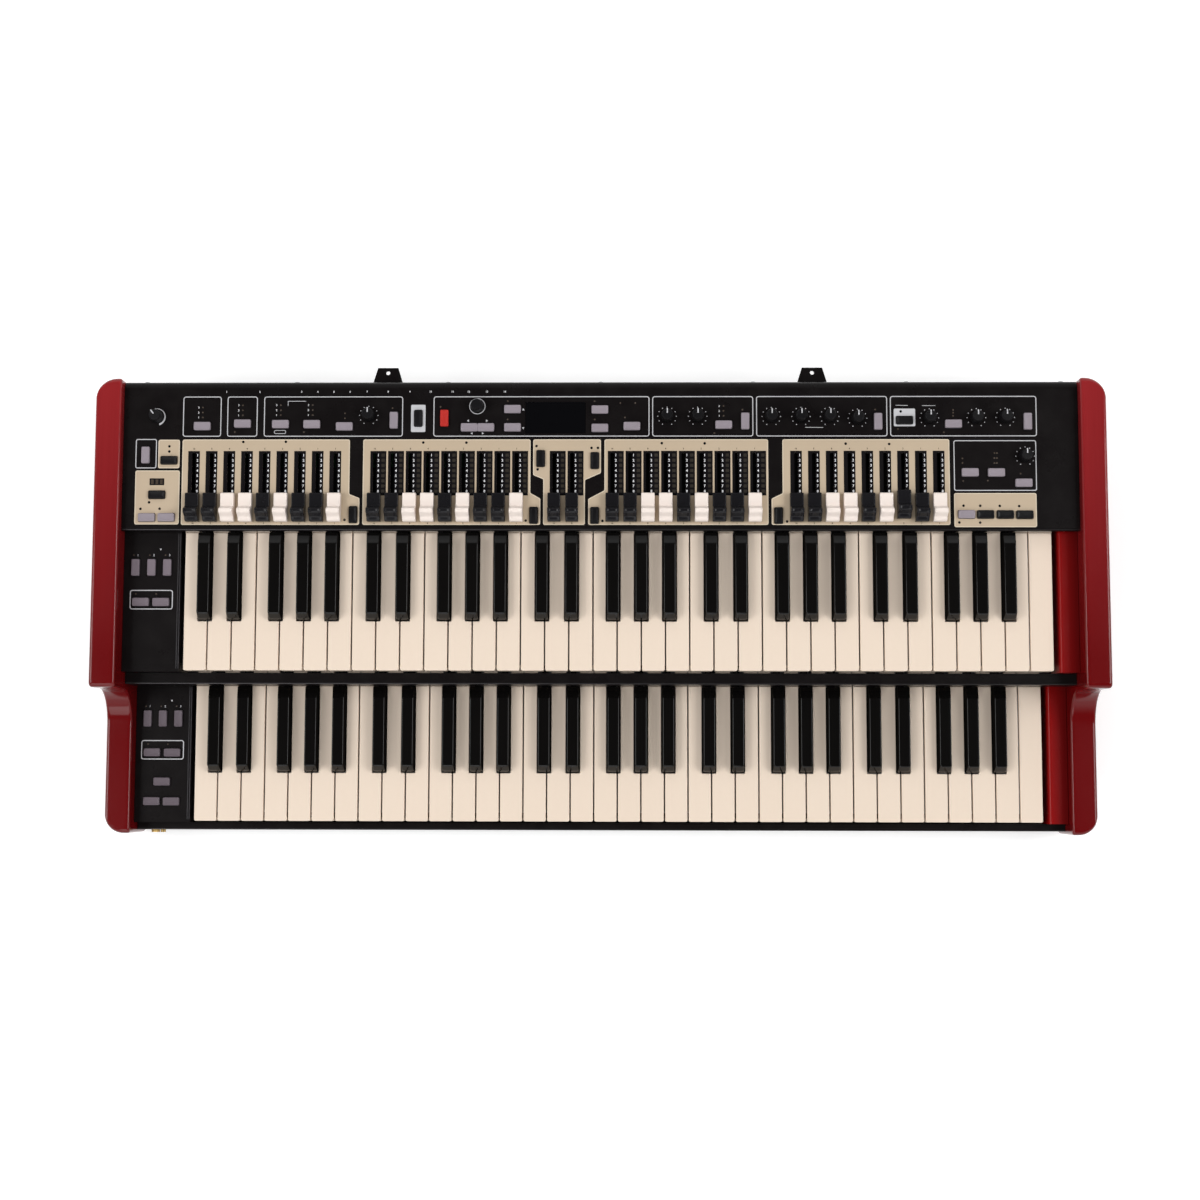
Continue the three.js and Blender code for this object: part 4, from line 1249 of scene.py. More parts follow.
@dataclass
class Cheek:
    """A wooden side board with a stepped side.

    Attributes:
        side: -1 for the left board, 1 for the right.
        inner: distance of its inner face from the middle.
        thickness: its thickness.
        front: its front end along Y.
        rear: its rear end along Y.
        bottom: its underside.
        low: top of the lower step.
        top: its top.
        step: where the riser between the steps stands.
        cove: radius at the riser's foot.
        foot_corner: radius at the front end's foot, seen from the side.
        rear_foot: radius at the rear end's foot.
        corner: radius of the side outline's other corners.
        edge: radius of the long edges.
        face_margin: width of the flat ring round each face.
        bend: how far from an end the ends' roundings reach.
        rear_corner: radius of the outer rear corner, seen from above.
        front_corner: radius of the outer front corner, seen from above.
    """

    side: int
    inner: float = 464.5
    thickness: float = 25.0
    front: float = -229.5
    rear: float = 212.5
    bottom: float = 8.0
    low: float = 80.0
    top: float = 150.0
    step: float = -88.5
    cove: float = 34.0
    foot_corner: float = 10.0
    rear_foot: float = 4.5
    corner: float = 5.0
    edge: float = 2.6
    face_margin: float = 1.2
    bend: float = 45.0
    rear_corner: float = 20.0
    front_corner: float = 18.0

    def profile(self) -> list[Flat]:
        """Gives the side outline.

        Returns:
            The outline in Y and Z, anticlockwise.
        """
        corners = [
            (self.front, self.bottom),
            (self.rear, self.bottom),
            (self.rear, self.top),
            (self.step, self.top),
            (self.step, self.low),
            (self.front, self.low),
        ]
        corner = self.corner
        return eased(corners, [self.foot_corner, self.rear_foot, corner, corner, self.cove, corner], 9)

    def ends(self, reach: float) -> tuple[float, float]:
        """Gives the front and rear ends at a distance from the inner face.

        Args:
            reach: how far out across the board.

        Returns:
            The two ends along Y.
        """
        found = []
        for radius, end, way in ((self.front_corner, self.front, 1), (self.rear_corner, self.rear, -1)):
            over = max(0.0, reach - (self.thickness - radius))
            found.append(end + way * (radius - math.sqrt(max(radius * radius - over * over, 0.0))))
        return found[0], found[1]

    def stations(self) -> list[tuple[float, float]]:
        """Gives the rings that the board is lofted through, from its inner face.

        Returns:
            How far out each ring stands, and how far it is drawn in.
        """
        edge = quarter(self.edge, 5)
        flat = self.edge + self.face_margin
        middle = [(self.thickness * s, 0.0) for s in (0.2, 0.35, 0.5, 0.62, 0.72, 0.8, 0.86)]
        last = [(self.thickness - reach, by) for reach, by in reversed(edge)]
        return [(0.0, flat), *edge, *middle, *last, (self.thickness, flat)]

    def build(self) -> bpy.types.Object:
        """Lofts the board across its thickness.

        Returns:
            The piece.
        """
        draft = Draft()
        outline = self.profile()
        rings = []
        blunt = 0.35
        for reach, by in self.stations():
            front, rear = self.ends(min(reach, self.thickness - blunt))
            ring = []
            for y, z in inset(outline, by):
                if y < self.front + self.bend:
                    share = (self.front + self.bend - y) / self.bend
                    y += (front - self.front) * min(share, 1.0)
                elif y > self.rear - self.bend:
                    share = (y - self.rear + self.bend) / self.bend
                    y += (rear - self.rear) * min(share, 1.0)
                ring.append((self.side * (self.inner + reach), y, z))
            rings.append(ring)
        draft.loft(rings)
        name = "left_cheek" if self.side < 0 else "right_cheek"
        return draft.make(f"{name}_board", [LACQUER], "case", name, 40)


# Keys


@dataclass
class Manual:
    """One manual: its naturals and its sharps.

    Attributes:
        tier: where it stands.
        gap: the gap between naturals.
        cap: length of a natural's cap.
        cap_depth: how far a cap reaches down.
        cap_edge: radius of a cap's top edges.
        wall: thickness of a natural's front.
        skirt: height of a natural's front.
        corner: radius of a natural's front corners, seen from above.
        room: the gap between a natural and a sharp at its side.
        notch_room: the gap between a natural and the nose of a sharp.
        sharp_width: width of a sharp at its foot.
        sharp_top: width of a sharp at its top.
        sharp_height: height of a sharp.
        sharp_foot: how far below the naturals' top a sharp starts.
        sharp_edge: radius of a sharp's top edges.
        sharp_start: how far behind the front the sharps begin.
        sharp_length: length of a sharp.
        facet: where a sharp's nose begins to slope.
        shoulder: where a sharp's tail begins to slope.
        crest: where a sharp's tail slopes less.
        shifts: how far each sharp of an octave stands from its joint.
    """

    tier: Tier
    gap: float = 1.35
    cap: float = 135.1
    cap_depth: float = 4.0
    cap_edge: float = 0.75
    wall: float = 3.0
    skirt: float = 20.0
    corner: float = 1.6
    room: float = 0.65
    notch_room: float = 0.9
    sharp_width: float = 12.9
    sharp_top: float = 11.5
    sharp_height: float = 12.0
    sharp_foot: float = 8.2
    sharp_edge: float = 0.9
    sharp_start: float = 48.8
    sharp_length: float = 85.2
    facet: float = 4.5
    shoulder: float = 8.4
    crest: float = 9.86
    shifts: tuple[float, ...] = (-2.61, 2.61, -3.9, 0.0, 3.9)

    def sharp_centres(self) -> list[float]:
        """Gives the middle of each sharp along X.

        Returns:
            The middles, from the left.
        """
        seats = list(zip((1, 2, 4, 5, 6), self.shifts))
        joints = [(7 * octave + seat, shift) for octave in range(OCTAVES) for seat, shift in seats]
        return [FIELD_LEFT + joint * KEY_PITCH + shift for joint, shift in joints]

    def sides(self, index: int) -> tuple[float, float]:
        """Gives a natural's two sides along X.

        Args:
            index: which natural, from the left.

        Returns:
            Its left side and its right side.
        """
        low = FIELD_LEFT + index * KEY_PITCH + self.gap / 2
        return low, low + KEY_PITCH - self.gap

    def plan(self, index: int) -> list[Flat]:
        """Gives a natural's outline from above.

        Args:
            index: which natural, from the left.

        Returns:
            The outline, with its front corners rounded.
        """
        front = self.tier.front
        low, high = self.sides(index)
        reach = self.sharp_width / 2 + self.room
        near = [x for x in self.sharp_centres() if x + reach > low and x - reach < high]
        middle = (low + high) / 2
        left = max([low] + [x + reach for x in near if x < middle])
        right = min([high] + [x - reach for x in near if x > middle])
        notch = front + self.sharp_start - self.notch_room
        end = front + self.cap
        corners: list[Flat] = [(low, front), (high, front)]
        radii = [self.corner, self.corner]
        outer, inner, rear = 0.8, 0.5, 0.2
        if right < high:
            corners += [(high, notch), (right, notch)]
            radii += [outer, inner]
        corners += [(right, end), (left, end)]
        radii += [rear, rear]
        if left > low:
            corners += [(left, notch), (low, notch)]
            radii += [inner, outer]
        return eased(corners, radii, 3)

    def naturals(self) -> bpy.types.Object:
        """Builds the naturals.

        Returns:
            The piece.
        """
        draft = Draft()
        front, top = self.tier.front, self.tier.keys
        foot = top - self.skirt
        for index in range(NATURALS):
            draft.pillow(self.plan(index), top - self.cap_depth, top, self.cap_edge)
            low, high = self.sides(index)
            wall = rectangle(low, front, high, front + self.wall)
            face = eased(wall, [self.corner, self.corner, 0.1, 0.1], 3)
            draft.tower(face, [(0.35, foot), (0, foot + 0.5), (0, top - self.cap_depth + 0.2)])
        return self.finished(draft, "natural", (0, front + self.cap, 0), (0, -1, 0), [IVORY], 34)

    def sharp(self, draft: Draft, centre: float) -> None:
        """Adds one sharp.

        Args:
            draft: the draft to add it to.
            centre: its middle along X.
        """
        nose = self.tier.front + self.sharp_start
        tail = nose + self.sharp_length
        height, edge = self.sharp_height, self.sharp_edge
        levels = [-self.sharp_foot, -0.6, 0.0, 2.3, self.facet, 6.5, self.shoulder, self.crest]
        levels += [height - edge * (1 - math.sin(t * math.pi / 2)) for t in (0.0, 0.3, 0.55, 0.8, 1.0)]
        rings = []
        for z in levels:
            over = max(0.0, z - (height - edge)) / edge
            draw = edge * (1 - math.sqrt(max(1 - over * over, 0.0)))
            half = (self.sharp_width - (self.sharp_width - self.sharp_top) * max(z, 0) / height) / 2
            lean = slope(z, 0, self.facet, 0.9) + slope(z, self.facet, height, 5.3)
            back = slope(z, self.shoulder, self.crest, 5.8) + slope(z, self.crest, height, 5.3)
            corners = rectangle(centre - half, nose + lean, centre + half, tail - back)
            plan = eased(corners, [2.0, 2.0, 1.0, 1.0], 3)
            rings.append([(x, y, self.tier.keys + z) for x, y in inset(plan, draw)])
        draft.loft(rings)

    def sharps(self) -> bpy.types.Object:
        """Builds the sharps.

        Returns:
            The piece.
        """
        draft = Draft()
        for centre in self.sharp_centres():
            self.sharp(draft, centre)
        below = (0, 0, self.tier.keys - self.sharp_foot + 0.15)
        piece = self.finished(draft, "sharp", below, (0, 0, 1), [EBONY, EBONY_SIDE], 30)
        steep = 0.85
        for face in piece.data.polygons:
            if abs(face.normal.x) > steep:
                face.material_index = 1
        return piece

    def finished(
        self,
        draft: Draft,
        kind: str,
        place: Point,
        normal: Point,
        finishes: Sequence[Finish],
        crease: float,
    ) -> bpy.types.Object:
        """Brings along what the keys hang on, and makes the piece.

        Args:
            draft: the keys.
            kind: natural or sharp.
            place: a point on the plane behind which the frame's node is kept.
            normal: the side of it that is left off.
            finishes: the keys' finishes, of which the last dresses what is kept.
            crease: edges sharper than this, in degrees, stay sharp.

        Returns:
            The piece.
        """
        node, body = f"{self.tier.name}_{kind}s", f"{self.tier.name}_{kind}_keys"
        draft.carry(node, place, normal, len(finishes) - 1)
        return draft.make(body, finishes, body, node, crease)


# Drawbars


@dataclass
class BarRow:
    """The drawbars of one colour in a row.

    Attributes:
        node: the frame node.
        body: the frame body.
        centres: the middle of each bar along X.
        finish: the caps' finish.
        front: front end of the caps along Y.
        length: length of a cap.
        width: width of a cap.
        rise: height of a cap above the panel.
        edge: radius of the cap's edges.
        dish: depth of the dish for the finger.
        dish_front: where the dish starts, as a share of the length from the rear.
        dish_span: length of the dish, as a share.
        rim: width of the flat beside the dish.
        lift: the gap under the cap.
    """

    node: str
    body: str
    centres: Sequence[float]
    finish: Finish
    front: float = 72.2
    length: float = 27.9
    width: float = 13.0
    rise: float = 16.0
    edge: float = 0.8
    dish: float = 1.1
    dish_front: float = 0.56
    dish_span: float = 0.37
    rim: float = 1.7
    lift: float = 0.45

    def hollow(self, y: float, z: float) -> float:
        """Gives how deep the finger's dish is at a point of the side outline.

        Args:
            y: the point along Y.
            z: its height.

        Returns:
            0 outside the dish, 1 at its middle.
        """
        share = (self.front + self.length - y) / self.length
        along = (share - self.dish_front) / self.dish_span
        if z < PANEL_TOP + 0.3 * self.rise or not 0 < along < 1:
            return 0.0
        return math.sin(math.pi * along)

    def profile(self) -> list[Flat]:
        """Gives a cap's side outline.

        Returns:
            The outline in Y and Z, anticlockwise.
        """
        shares = [
            (0, 0.44), (0.03, 0.52), (0.465, 0.52), (0.48, 0.58), (0.585, 0.98), (0.62, 1.0),
            (0.72, 1.0), (0.85, 0.60), (0.955, 0.50), (1, 0.40),
        ]
        rear, foot = self.front + self.length, PANEL_TOP + self.lift
        over = [(rear - u * self.length, PANEL_TOP + v * self.rise) for u, v in shares]
        radii = [0.3, 0.3, 0.3, 0.5, 0.2, 0.4, 1.2, 2.0, 2.5, 3.0, 0.8, 0.3]
        return eased([(self.front, foot), (rear, foot), *over], radii, 3)

    def build(self) -> bpy.types.Object:
        """Builds the caps and brings along what holds them.

        Returns:
            The piece.
        """
        draft = Draft()
        outline = self.profile()
        slopes = 1.9
        first = quarter(self.edge, 3) + [(self.rim + out, 0.0) for out in (0.0, 0.9, slopes)]
        stations = first + [(self.width - reach, by) for reach, by in reversed(first)]
        for centre in self.centres:
            start = centre - self.width / 2
            rings = []
            for reach, by in stations:
                depth = slope(min(reach, self.width - reach), self.rim, self.rim + slopes, self.dish)
                ring = [(start + reach, y, z - depth * self.hollow(y, z)) for y, z in inset(outline, by)]
                rings.append(ring)
            draft.loft(rings)
        draft.carry(self.node, (0, 0, PANEL_TOP + self.lift), (0, 0, 1), 1)
        return draft.make(f"{self.node}_caps", [self.finish, PLASTIC], self.body, self.node, 32)


def bar_rows() -> list[BarRow]:
    """Gives every row of drawbars.

    Returns:
        The rows, with the bar that stands by itself and the two of the bass last.
    """
    rows = []
    stray_row, stray_seat = "d", 6
    for row, start in ROW_STARTS.items():
        white = [start + BAR_PITCH * k for k in WHITE_SEATS]
        black = [start + BAR_PITCH * k for k in BLACK_SEATS if (row, k) != (stray_row, stray_seat)]
        rows.append(BarRow(f"drawbars_{row}_white", f"row_{row}_white", white, CAP_WHITE))
        rows.append(BarRow(f"drawbars_{row}_black", f"row_{row}_black", black, CAP_BLACK))
    stray = ROW_STARTS[stray_row] + BAR_PITCH * stray_seat
    rows.append(BarRow("drawbar_d7", "row_d_seventh", [stray], CAP_BLACK, front=75.2))
    for number, (word, x) in enumerate(zip(("first", "second"), BASS_BARS), 1):
        rows.append(BarRow(f"bass_drawbar_{number}", f"bass_{word}", [x], CAP_BLACK, width=12.4))
    return rows


# Knobs and buttons


@dataclass
class Knob:
    """A turned knob with fine flutes.

    Attributes:
        node: the frame node.
        body: the frame body.
        x: its axis along X.
        y: its axis along Y.
        pointer: where the pointer stands, in degrees left of the rear, or None for a bare top.
        radius: its radius.
        flutes: how many flutes.
        flute_depth: depth of a flute.
        rings: how far in from the radius each ring stands, and its height.
    """

    node: str
    body: str
    x: float
    y: float
    pointer: Optional[float] = 0.0
    radius: float = 6.5
    flutes: int = 24
    flute_depth: float = 0.5
    rings: tuple[tuple[float, float], ...] = (
        (0.5, 0.55), (0.02, 0.6), (0.02, 2.0), (0.35, 2.9), (0.55, 8.0), (0.7, 10.6),
        (0.95, 11.3), (1.5, 11.75), (2.3, 11.8), (3.4, 11.7),
    )

    def build(self) -> bpy.types.Object:
        """Turns the knob and inlays its pointer.

        Returns:
            The piece.
        """
        draft = Draft()
        axis = Matrix.Translation((self.x, self.y, PANEL_TOP))
        profile = [(self.radius - by, height) for by, height in self.rings]
        draft.lathe(axis, profile, 6 * self.flutes, self.flutes, self.flute_depth)
        draft.carry(self.node, (0, 0, PANEL_TOP + 0.5), (0, 0, 1))
        if self.pointer is not None:
            half, start = 0.55, 1.2
            turn = Matrix.Rotation(math.radians(self.pointer), 2)
            strip = [turn @ Vector(p) for p in rectangle(-half, start, half, self.radius - half)]
            placed = [(self.x + p.x, self.y + p.y) for p in strip]
            draft.tower(placed, [(by, PANEL_TOP + z) for by, z in ((0, 10.9), (0, 11.9), (0.1, 11.95))], 1)
        return draft.make(f"{self.node}_turned", [PLASTIC, PALE_PRINT], self.body, self.node, 30)


@dataclass
class ButtonGroup:
    """Push buttons that share a frame node.

    Attributes:
        node: the frame node.
        body: the frame body.
        buttons: the buttons.
        finish: their finish.
        seat: top of what they stand in.
        rise: how far they stand out of it.
    """

    node: str
    body: str
    buttons: Sequence[Button]
    finish: Finish
    seat: float = PANEL_TOP
    rise: float = 2.6

    def build(self) -> bpy.types.Object:
        """Builds the caps and brings along the webs that hold them.

        Returns:
            The piece.
        """
        draft = Draft()
        for button in self.buttons:
            button.cap(draft, self.seat, self.rise)
        draft.carry(self.node, (0, 0, self.seat - BUTTON_ROOT), (0, 0, 1), 1)
        return draft.make(f"{self.node}_caps", [self.finish, PLASTIC], self.body, self.node, 40)


# Print on the top panel and on the blocks


BEIGE_FIELDS: list[list[Flat]] = [
    [(-406.3, 69.5), (-232.8, 69.5), (-232.8, 95.8), (-242.8, 99.6), (-242.8, 153.4), (-406.3, 153.4)],
    [(-229.8, 69.5), (-57.0, 69.5), (-57.0, 95.2), (-66.8, 100.8), (-66.8, 153.4), (-229.8, 153.4)],
    [
        (-54.3, 69.5), (-13.8, 69.5), (-13.8, 113.4), (1.7, 120.2), (1.7, 153.4), (-64.2, 153.4),
        (-64.2, 118.3), (-54.3, 114.3),
    ],
    [(-10.6, 69.5), (163.9, 69.5), (163.9, 153.4), (5.1, 153.4), (5.1, 103.3), (-10.6, 94.9)],
    [(167.0, 69.5), (339.4, 69.5), (339.4, 153.4), (177.7, 153.4), (177.7, 100.4), (167.0, 95.2)],
    rectangle(343.2, 67.4, 422.7, 100.6),
    rectangle(-429.8, 125.1, -408.9, 153.2),
    rectangle(-451.7, 69.9, -408.4, 122.9),
]
PALE_LAMPS = (
    (-387.1, 185.1), (-387.1, 180.1), (-387.0, 175.2), (-348.0, 187.2), (-348.0, 182.3),
    (-347.9, 177.3), (-310.9, 187.4), (-310.8, 182.4), (-310.8, 177.5), (-279.8, 187.4),
    (-279.7, 182.5), (-279.7, 177.5), (-248.0, 179.3), (-248.0, 174.3), (-355.5, 160.9),
    (-288.0, 160.7), (-201.7, 184.3), (-154.8, 185.6), (-89.2, 191.2), (-89.2, 173.1),
    (-4.5, 191.0), (-4.5, 172.9), (20.5, 189.2), (35.1, 189.2), (24.9, 175.1), (120.8, 186.2),
    (120.8, 181.4), (120.8, 176.5), (111.8, 159.5), (139.2, 182.5), (268.1, 182.6), (289.9, 163.5),
    (343.6, 182.2), (343.6, 179.4), (343.5, 176.3), (334.3, 160.2), (351.9, 134.5), (351.8, 130.0),
    (352.3, 112.5), (382.9, 139.8), (385.2, 139.8), (382.8, 134.9), (385.1, 134.9), (382.7, 130.0),
    (385.0, 130.0), (376.1, 112.9), (407.7, 119.6),
)
DARK_LAMPS = (
    (352.2, 88.3), (368.3, 88.2), (387.1, 88.1), (405.8, 87.9), (347.9, 71.9), (368.0, 71.8),
    (-347.0, 151.0), (-305.4, 151.1), (-247.1, 74.4), (-171.3, 150.3), (-129.3, 150.2),
    (-71.1, 73.7), (-61.0, 146.8), (-59.8, 123.9), (-7.5, 145.0), (-1.3, 145.0), (60.8, 149.6),
    (102.4, 149.4), (3.2, 73.5), (239.1, 149.0), (281.2, 148.7), (181.8, 72.9), (-419.1, 146.7),
    (-419.1, 141.6), (-437.7, 91.6), (-445.9, 85.2), (-427.3, 85.3), (292.8, 180.7),
)


@dataclass
class PanelPrint:
    """Everything printed on the top panel, with its lamps.

    Attributes:
        base: the surface that carries the print.
        low: the print's underside.
        high: the print's top.
        line: width of the pale outlines.
        hair: width of the fine lines.
        holes: the panel's openings.
    """

    base: float = PANEL_TOP
    low: float = PANEL_TOP + 0.03
    high: float = PANEL_TOP + 0.1
    line: float = 0.85
    hair: float = 0.5
    holes: list[list[Flat]] = field(default_factory=panel_holes)

    def free(self, outline: Sequence[Flat]) -> list[list[Flat]]:
        """Gives the holes whose middle lies in an outline.

        Args:
            outline: the print's edge.

        Returns:
            The holes.
        """
        return [hole for hole in self.holes if inside(middle_of(hole), outline)]

    def lay(self, draft: Draft, outline: Sequence[Flat], holes: Sequence[Sequence[Flat]] = ()) -> None:
        """Prints an outline on the bare panel.

        Args:
            draft: the draft.
            outline: the print's edge.
            holes: what it leaves free.
        """
        draft.plate(outline, holes, self.low, self.high)

    def beige(self) -> bpy.types.Object:
        """Prints the beige fields with their paler edges.

        Returns:
            The piece.
        """
        draft = Draft()
        for corners in BEIGE_FIELDS:
            outline = eased(corners, 1.8)
            within = inset(outline, 0.8)
            draft.plate(outline, [within], self.low, self.base + 0.11, 1)
            self.lay(draft, within, self.free(within))
        return draft.make("beige_fields", [BEIGE, BEIGE_EDGE], "case")

    def strips(self) -> bpy.types.Object:
        """Prints the black strips beside the slots, with numerals and lamp windows.

        Returns:
            The piece.
        """
        draft = Draft()
        for row, start in ROW_STARTS.items():
            for k in range(BARS_IN_ROW):
                self.strip(draft, start + BAR_PITCH * k, row in LIT_ROWS)
        for x in BASS_BARS:
            self.strip(draft, x, True)
        return draft.make("bar_strips", [DARK_PRINT, NUMERAL, LAMP_WINDOW], "case")

    def strip(self, draft: Draft, centre: float, lit: bool) -> None:
        """Prints one strip round the rear of a slot.

        Args:
            draft: the draft.
            centre: the slot's middle along X.
            lit: whether it has lamp windows, which make it wider.
        """
        low, high = self.high, self.high + 0.1
        front, rear = 98.3, 142.0
        left, right, numeral = (-4.35, 11.15, 3.4) if lit else (-5.65, 5.65, 3.5)
        edge = [
            (left, front), (-SLOT_HALF, front), (-SLOT_HALF, SLOT_REAR), (SLOT_HALF, SLOT_REAR),
            (SLOT_HALF, front), (right, front), (right, rear), (left, rear),
        ]
        draft.plate([(centre + x, y) for x, y in edge], [], low, high)
        for step in range(8):
            y = 137.9 - 5.05 * step
            GLYPHS.write(draft, str(step + 1), (centre + numeral, y), 2.6, high, 1)
            if lit:
                window = eased(centred((centre + 8.1, y), 3.3, 3.1), 0.4, 2)
                draft.tower(window, [(0, high), (0, low + 0.14), (0.15, low + 0.16)], 2)

    def boxes(self) -> bpy.types.Object:
        """Prints the pale outlines, lines and arrows.

        Returns:
            The piece.
        """
        draft = Draft()
        spans = [
            (-406.4, -368.9), (-363.1, -333.5), (-327.2, -191.4), (-161.6, 48.8), (51.5, 149.7),
            (152.5, 279.7), (282.4, 424.3),
        ]
        frames = [(x0, 156.2, x1, 195.9, 2.5) for x0, x1 in spans]
        frames += [(343.4, 102.8, 423.3, 152.3, 2.0), (-452.0, 125.0, -431.4, 153.9, 2.0)]
        frames += [(-317.1, 159.0, -305.5, 162.6, 1.5)]
        for *corners, radius in frames:
            width = self.line if radius >= 2 else self.hair
            outline = eased(rectangle(*corners), radius)
            self.lay(draft, outline, [inset(outline, width)])
        for corners in ((-183.5, 160.7, -169.4, 187.6), (286.0, 166.1, 306.8, 183.5)):
            outline = eased(rectangle(*corners), 1.2)
            self.lay(draft, outline, self.free(outline))
        lines = [
            [(-303.8, 186.6), (-303.8, 191.2), (-286.3, 191.2)],
            [(200.0, 165.1), (217.5, 165.0)],
            [(287.9, 186.8), (299.7, 186.6)],
            [(313.5, 186.5), (326.4, 186.4)],
        ]
        for points in lines:
            self.lay(draft, ribbon(points, self.hair))
        arrows = [
            (-127.9, 171.9, 90), (-109.5, 171.8, -90), (-124.3, 159.4, 90), (-113.3, 159.4, -90),
            (-74.1, 183.0, 0), (-74.1, 164.4, 180),
        ]
        for x, y, turn in arrows:
            spin = Matrix.Rotation(math.radians(turn), 2)
            corners = [spin @ Vector(p) for p in ((-1.2, -0.9), (1.2, -0.9), (0, 1.1))]
            self.lay(draft, [(x + p.x, y + p.y) for p in corners])
        self.dials(draft)
        return draft.make("pale_outlines", [PALE_PRINT], "case")

    def dials(self, draft: Draft) -> None:
        """Prints the dots round the knobs, the encoder's ring and the level crescent.

        Args:
            draft: the draft.
        """
        for node, (_, x, y) in KNOB_PLACES.items():
            if node == "program_encoder":
                self.lay(draft, circle((x, y), 7.9, 40), [circle((x, y), 7.2, 40)])
                continue
            if node == "master_level_knob":
                self.crescent(draft, x, y)
                continue
            for k in range(11):
                turn = math.radians(240 - 30 * k)
                place = (x + 9.0 * math.cos(turn), y + 9.0 * math.sin(turn))
                self.lay(draft, circle(place, 0.5, 8))

    def crescent(self, draft: Draft, x: float, y: float) -> None:
        """Prints an arc that widens clockwise.

        Args:
            draft: the draft.
            x: its middle along X.
            y: its middle along Y.
        """
        outer: list[Flat] = []
        inner: list[Flat] = []
        radius, steps, start, sweep = 7.9, 24, 118, 190
        for k in range(steps + 1):
            share = k / steps
            turn = math.radians(start - sweep * share)
            half = (0.3 + 1.5 * share) / 2
            for store, reach in ((outer, radius + half), (inner, radius - half)):
                store.append((x + reach * math.cos(turn), y + reach * math.sin(turn)))
        self.lay(draft, inner + outer[::-1])

    def lamps(self) -> bpy.types.Object:
        """Sets the small lamps into the panel.

        Returns:
            The piece.
        """
        draft = Draft()
        for group, radius, mark in ((PALE_LAMPS, 0.85, 0), (DARK_LAMPS, 1.3, 1)):
            dome = [(radius * share, z) for share, z in ((1, 0.02), (1, 0.15), (0.75, 0.3), (0.3, 0.36))]
            for x, y in group:
                draft.lathe(Matrix.Translation((x, y, self.base)), dome, 12, mark=mark)
        window = eased(rectangle(-437.7, 108.4, -423.3, 115.2), 0.6)
        draft.tower(window, [(0, self.high), (0, self.base + 0.16), (0.2, self.base + 0.18)], 1)
        for k in range(3):
            spot = eased(centred((-434.9 + 4.4 * k, 111.8), 2.6, 4.6), 0.3, 2)
            draft.tower(spot, [(0, self.base + 0.17), (0.1, self.base + 0.22)], 0)
        return draft.make("panel_lamps", [LAMP, DARK_PRINT], "case")

    def counts(self) -> bpy.types.Object:
        """Prints the plain numbers beside the lamps and ahead of the rear sockets.

        Returns:
            The piece.
        """
        draft = Draft()
        columns = {
            -391.2: (185.1, 180.1, 175.2), -352.1: (187.2, 182.3, 177.3), -315.0: (187.4, 182.4, 177.5),
            -283.9: (187.4, 182.5, 177.5), 116.6: (186.2, 181.4, 176.5),
        }
        for x, places in columns.items():
            for number, y in zip("321", places):
                GLYPHS.write(draft, number, (x, y), 1.9, self.low, 0)
        rear = RearFittings
        sockets = sorted((*rear.jacks, *rear.rounds, rear.multi, rear.square))
        for number, x in enumerate(sockets, 1):
            GLYPHS.write(draft, str(number), (x, 200.6), 1.9, self.low, 0)
        return draft.make("plain_numbers", [NUMERAL], "case")

    def footages(self) -> bpy.types.Object:
        """Prints the plain numbers ahead of the drawbars and behind them.

        Returns:
            The piece.
        """
        draft = Draft()
        marks = ("16", "5", "8", "4", "3", "2", "2", "1", "1")
        size, ahead, behind = 1.7, 71.1, 144.3
        for start in ROW_STARTS.values():
            for k, text in enumerate(marks):
                for y in (ahead, behind):
                    GLYPHS.write(draft, text, (start + BAR_PITCH * k, y), size, self.high, 0)
        for x, text in zip(BASS_BARS, ("16", "8")):
            GLYPHS.write(draft, text, (x, ahead), size, self.high, 0)
        return draft.make("bar_numbers", [DARK_PRINT], "case")

    def surround(self) -> bpy.types.Object:
        """Builds the dark surround on the display's window.

        Returns:
            The piece.
        """
        draft = Draft()
        outline = eased(centred(DISPLAY_MIDDLE, 58.1, 30.1), 1.0)
        within = eased(centred(DISPLAY_MIDDLE, 51.0, 24.0), 0.8)
        draft.plate(outline, [within], PANEL_TOP + 0.12, PANEL_TOP + 0.19, 1)
        return draft.make("display_surround", [GLASS, DARK_PRINT], "case")

    def shield(self) -> bpy.types.Object:
        """Builds a dark sheet under the carriages of the drawbars, which makes what shows through the
        slots dark.

        Returns:
            The piece.
        """
        draft = Draft()
        outline = eased(rectangle(-455.0, 70.5, 455.0, 129.0), 2.0)
        draft.plate(outline, [], 119.5, 119.9)
        return draft.make("dark_sheet_under_slots", [DARK_PRINT], "case")

    def bend_highlights(self) -> bpy.types.Object:
        """Builds fine pale lines on the front bends: a painted highlight where the bends catch the light.

        Returns:
            The piece.
        """
        draft = Draft()
        lines = [
            (-463.0, 463.0, 64.88, 138.12),
            (-455.0, 455.0, -82.91, 109.91),
            (-455.0, 455.0, -225.91, 47.91),
            (-462.5, -412.0, -71.85, 124.75),
            (-462.5, -412.0, -218.55, 62.75),
        ]
        taper, slant = 6, 0.7071
        section = [(-0.32, -0.05), (0.32, -0.05), (0.2, 0.07), (-0.2, 0.07)]
        for x0, x1, y, z in lines:
            rings = []
            for x, grow in ((x0, 0.3), (x0 + taper, 1.0), (x1 - taper, 1.0), (x1, 0.3)):
                ring = []
                for u, v in section:
                    u *= grow
                    ring.append((x, y + (u - v) * slant, z + (u + v) * slant))
                rings.append(ring)
            draft.loft(rings)
        return draft.make("painted_bend_highlights", [PAINTED_BEND_HIGHLIGHT], "case")

    def build(self) -> None:
        """Prints everything."""
        self.shield()
        self.bend_highlights()
        self.beige()
        self.strips()
        self.boxes()
        self.lamps()
        self.footages()
        self.counts()
        self.surround()


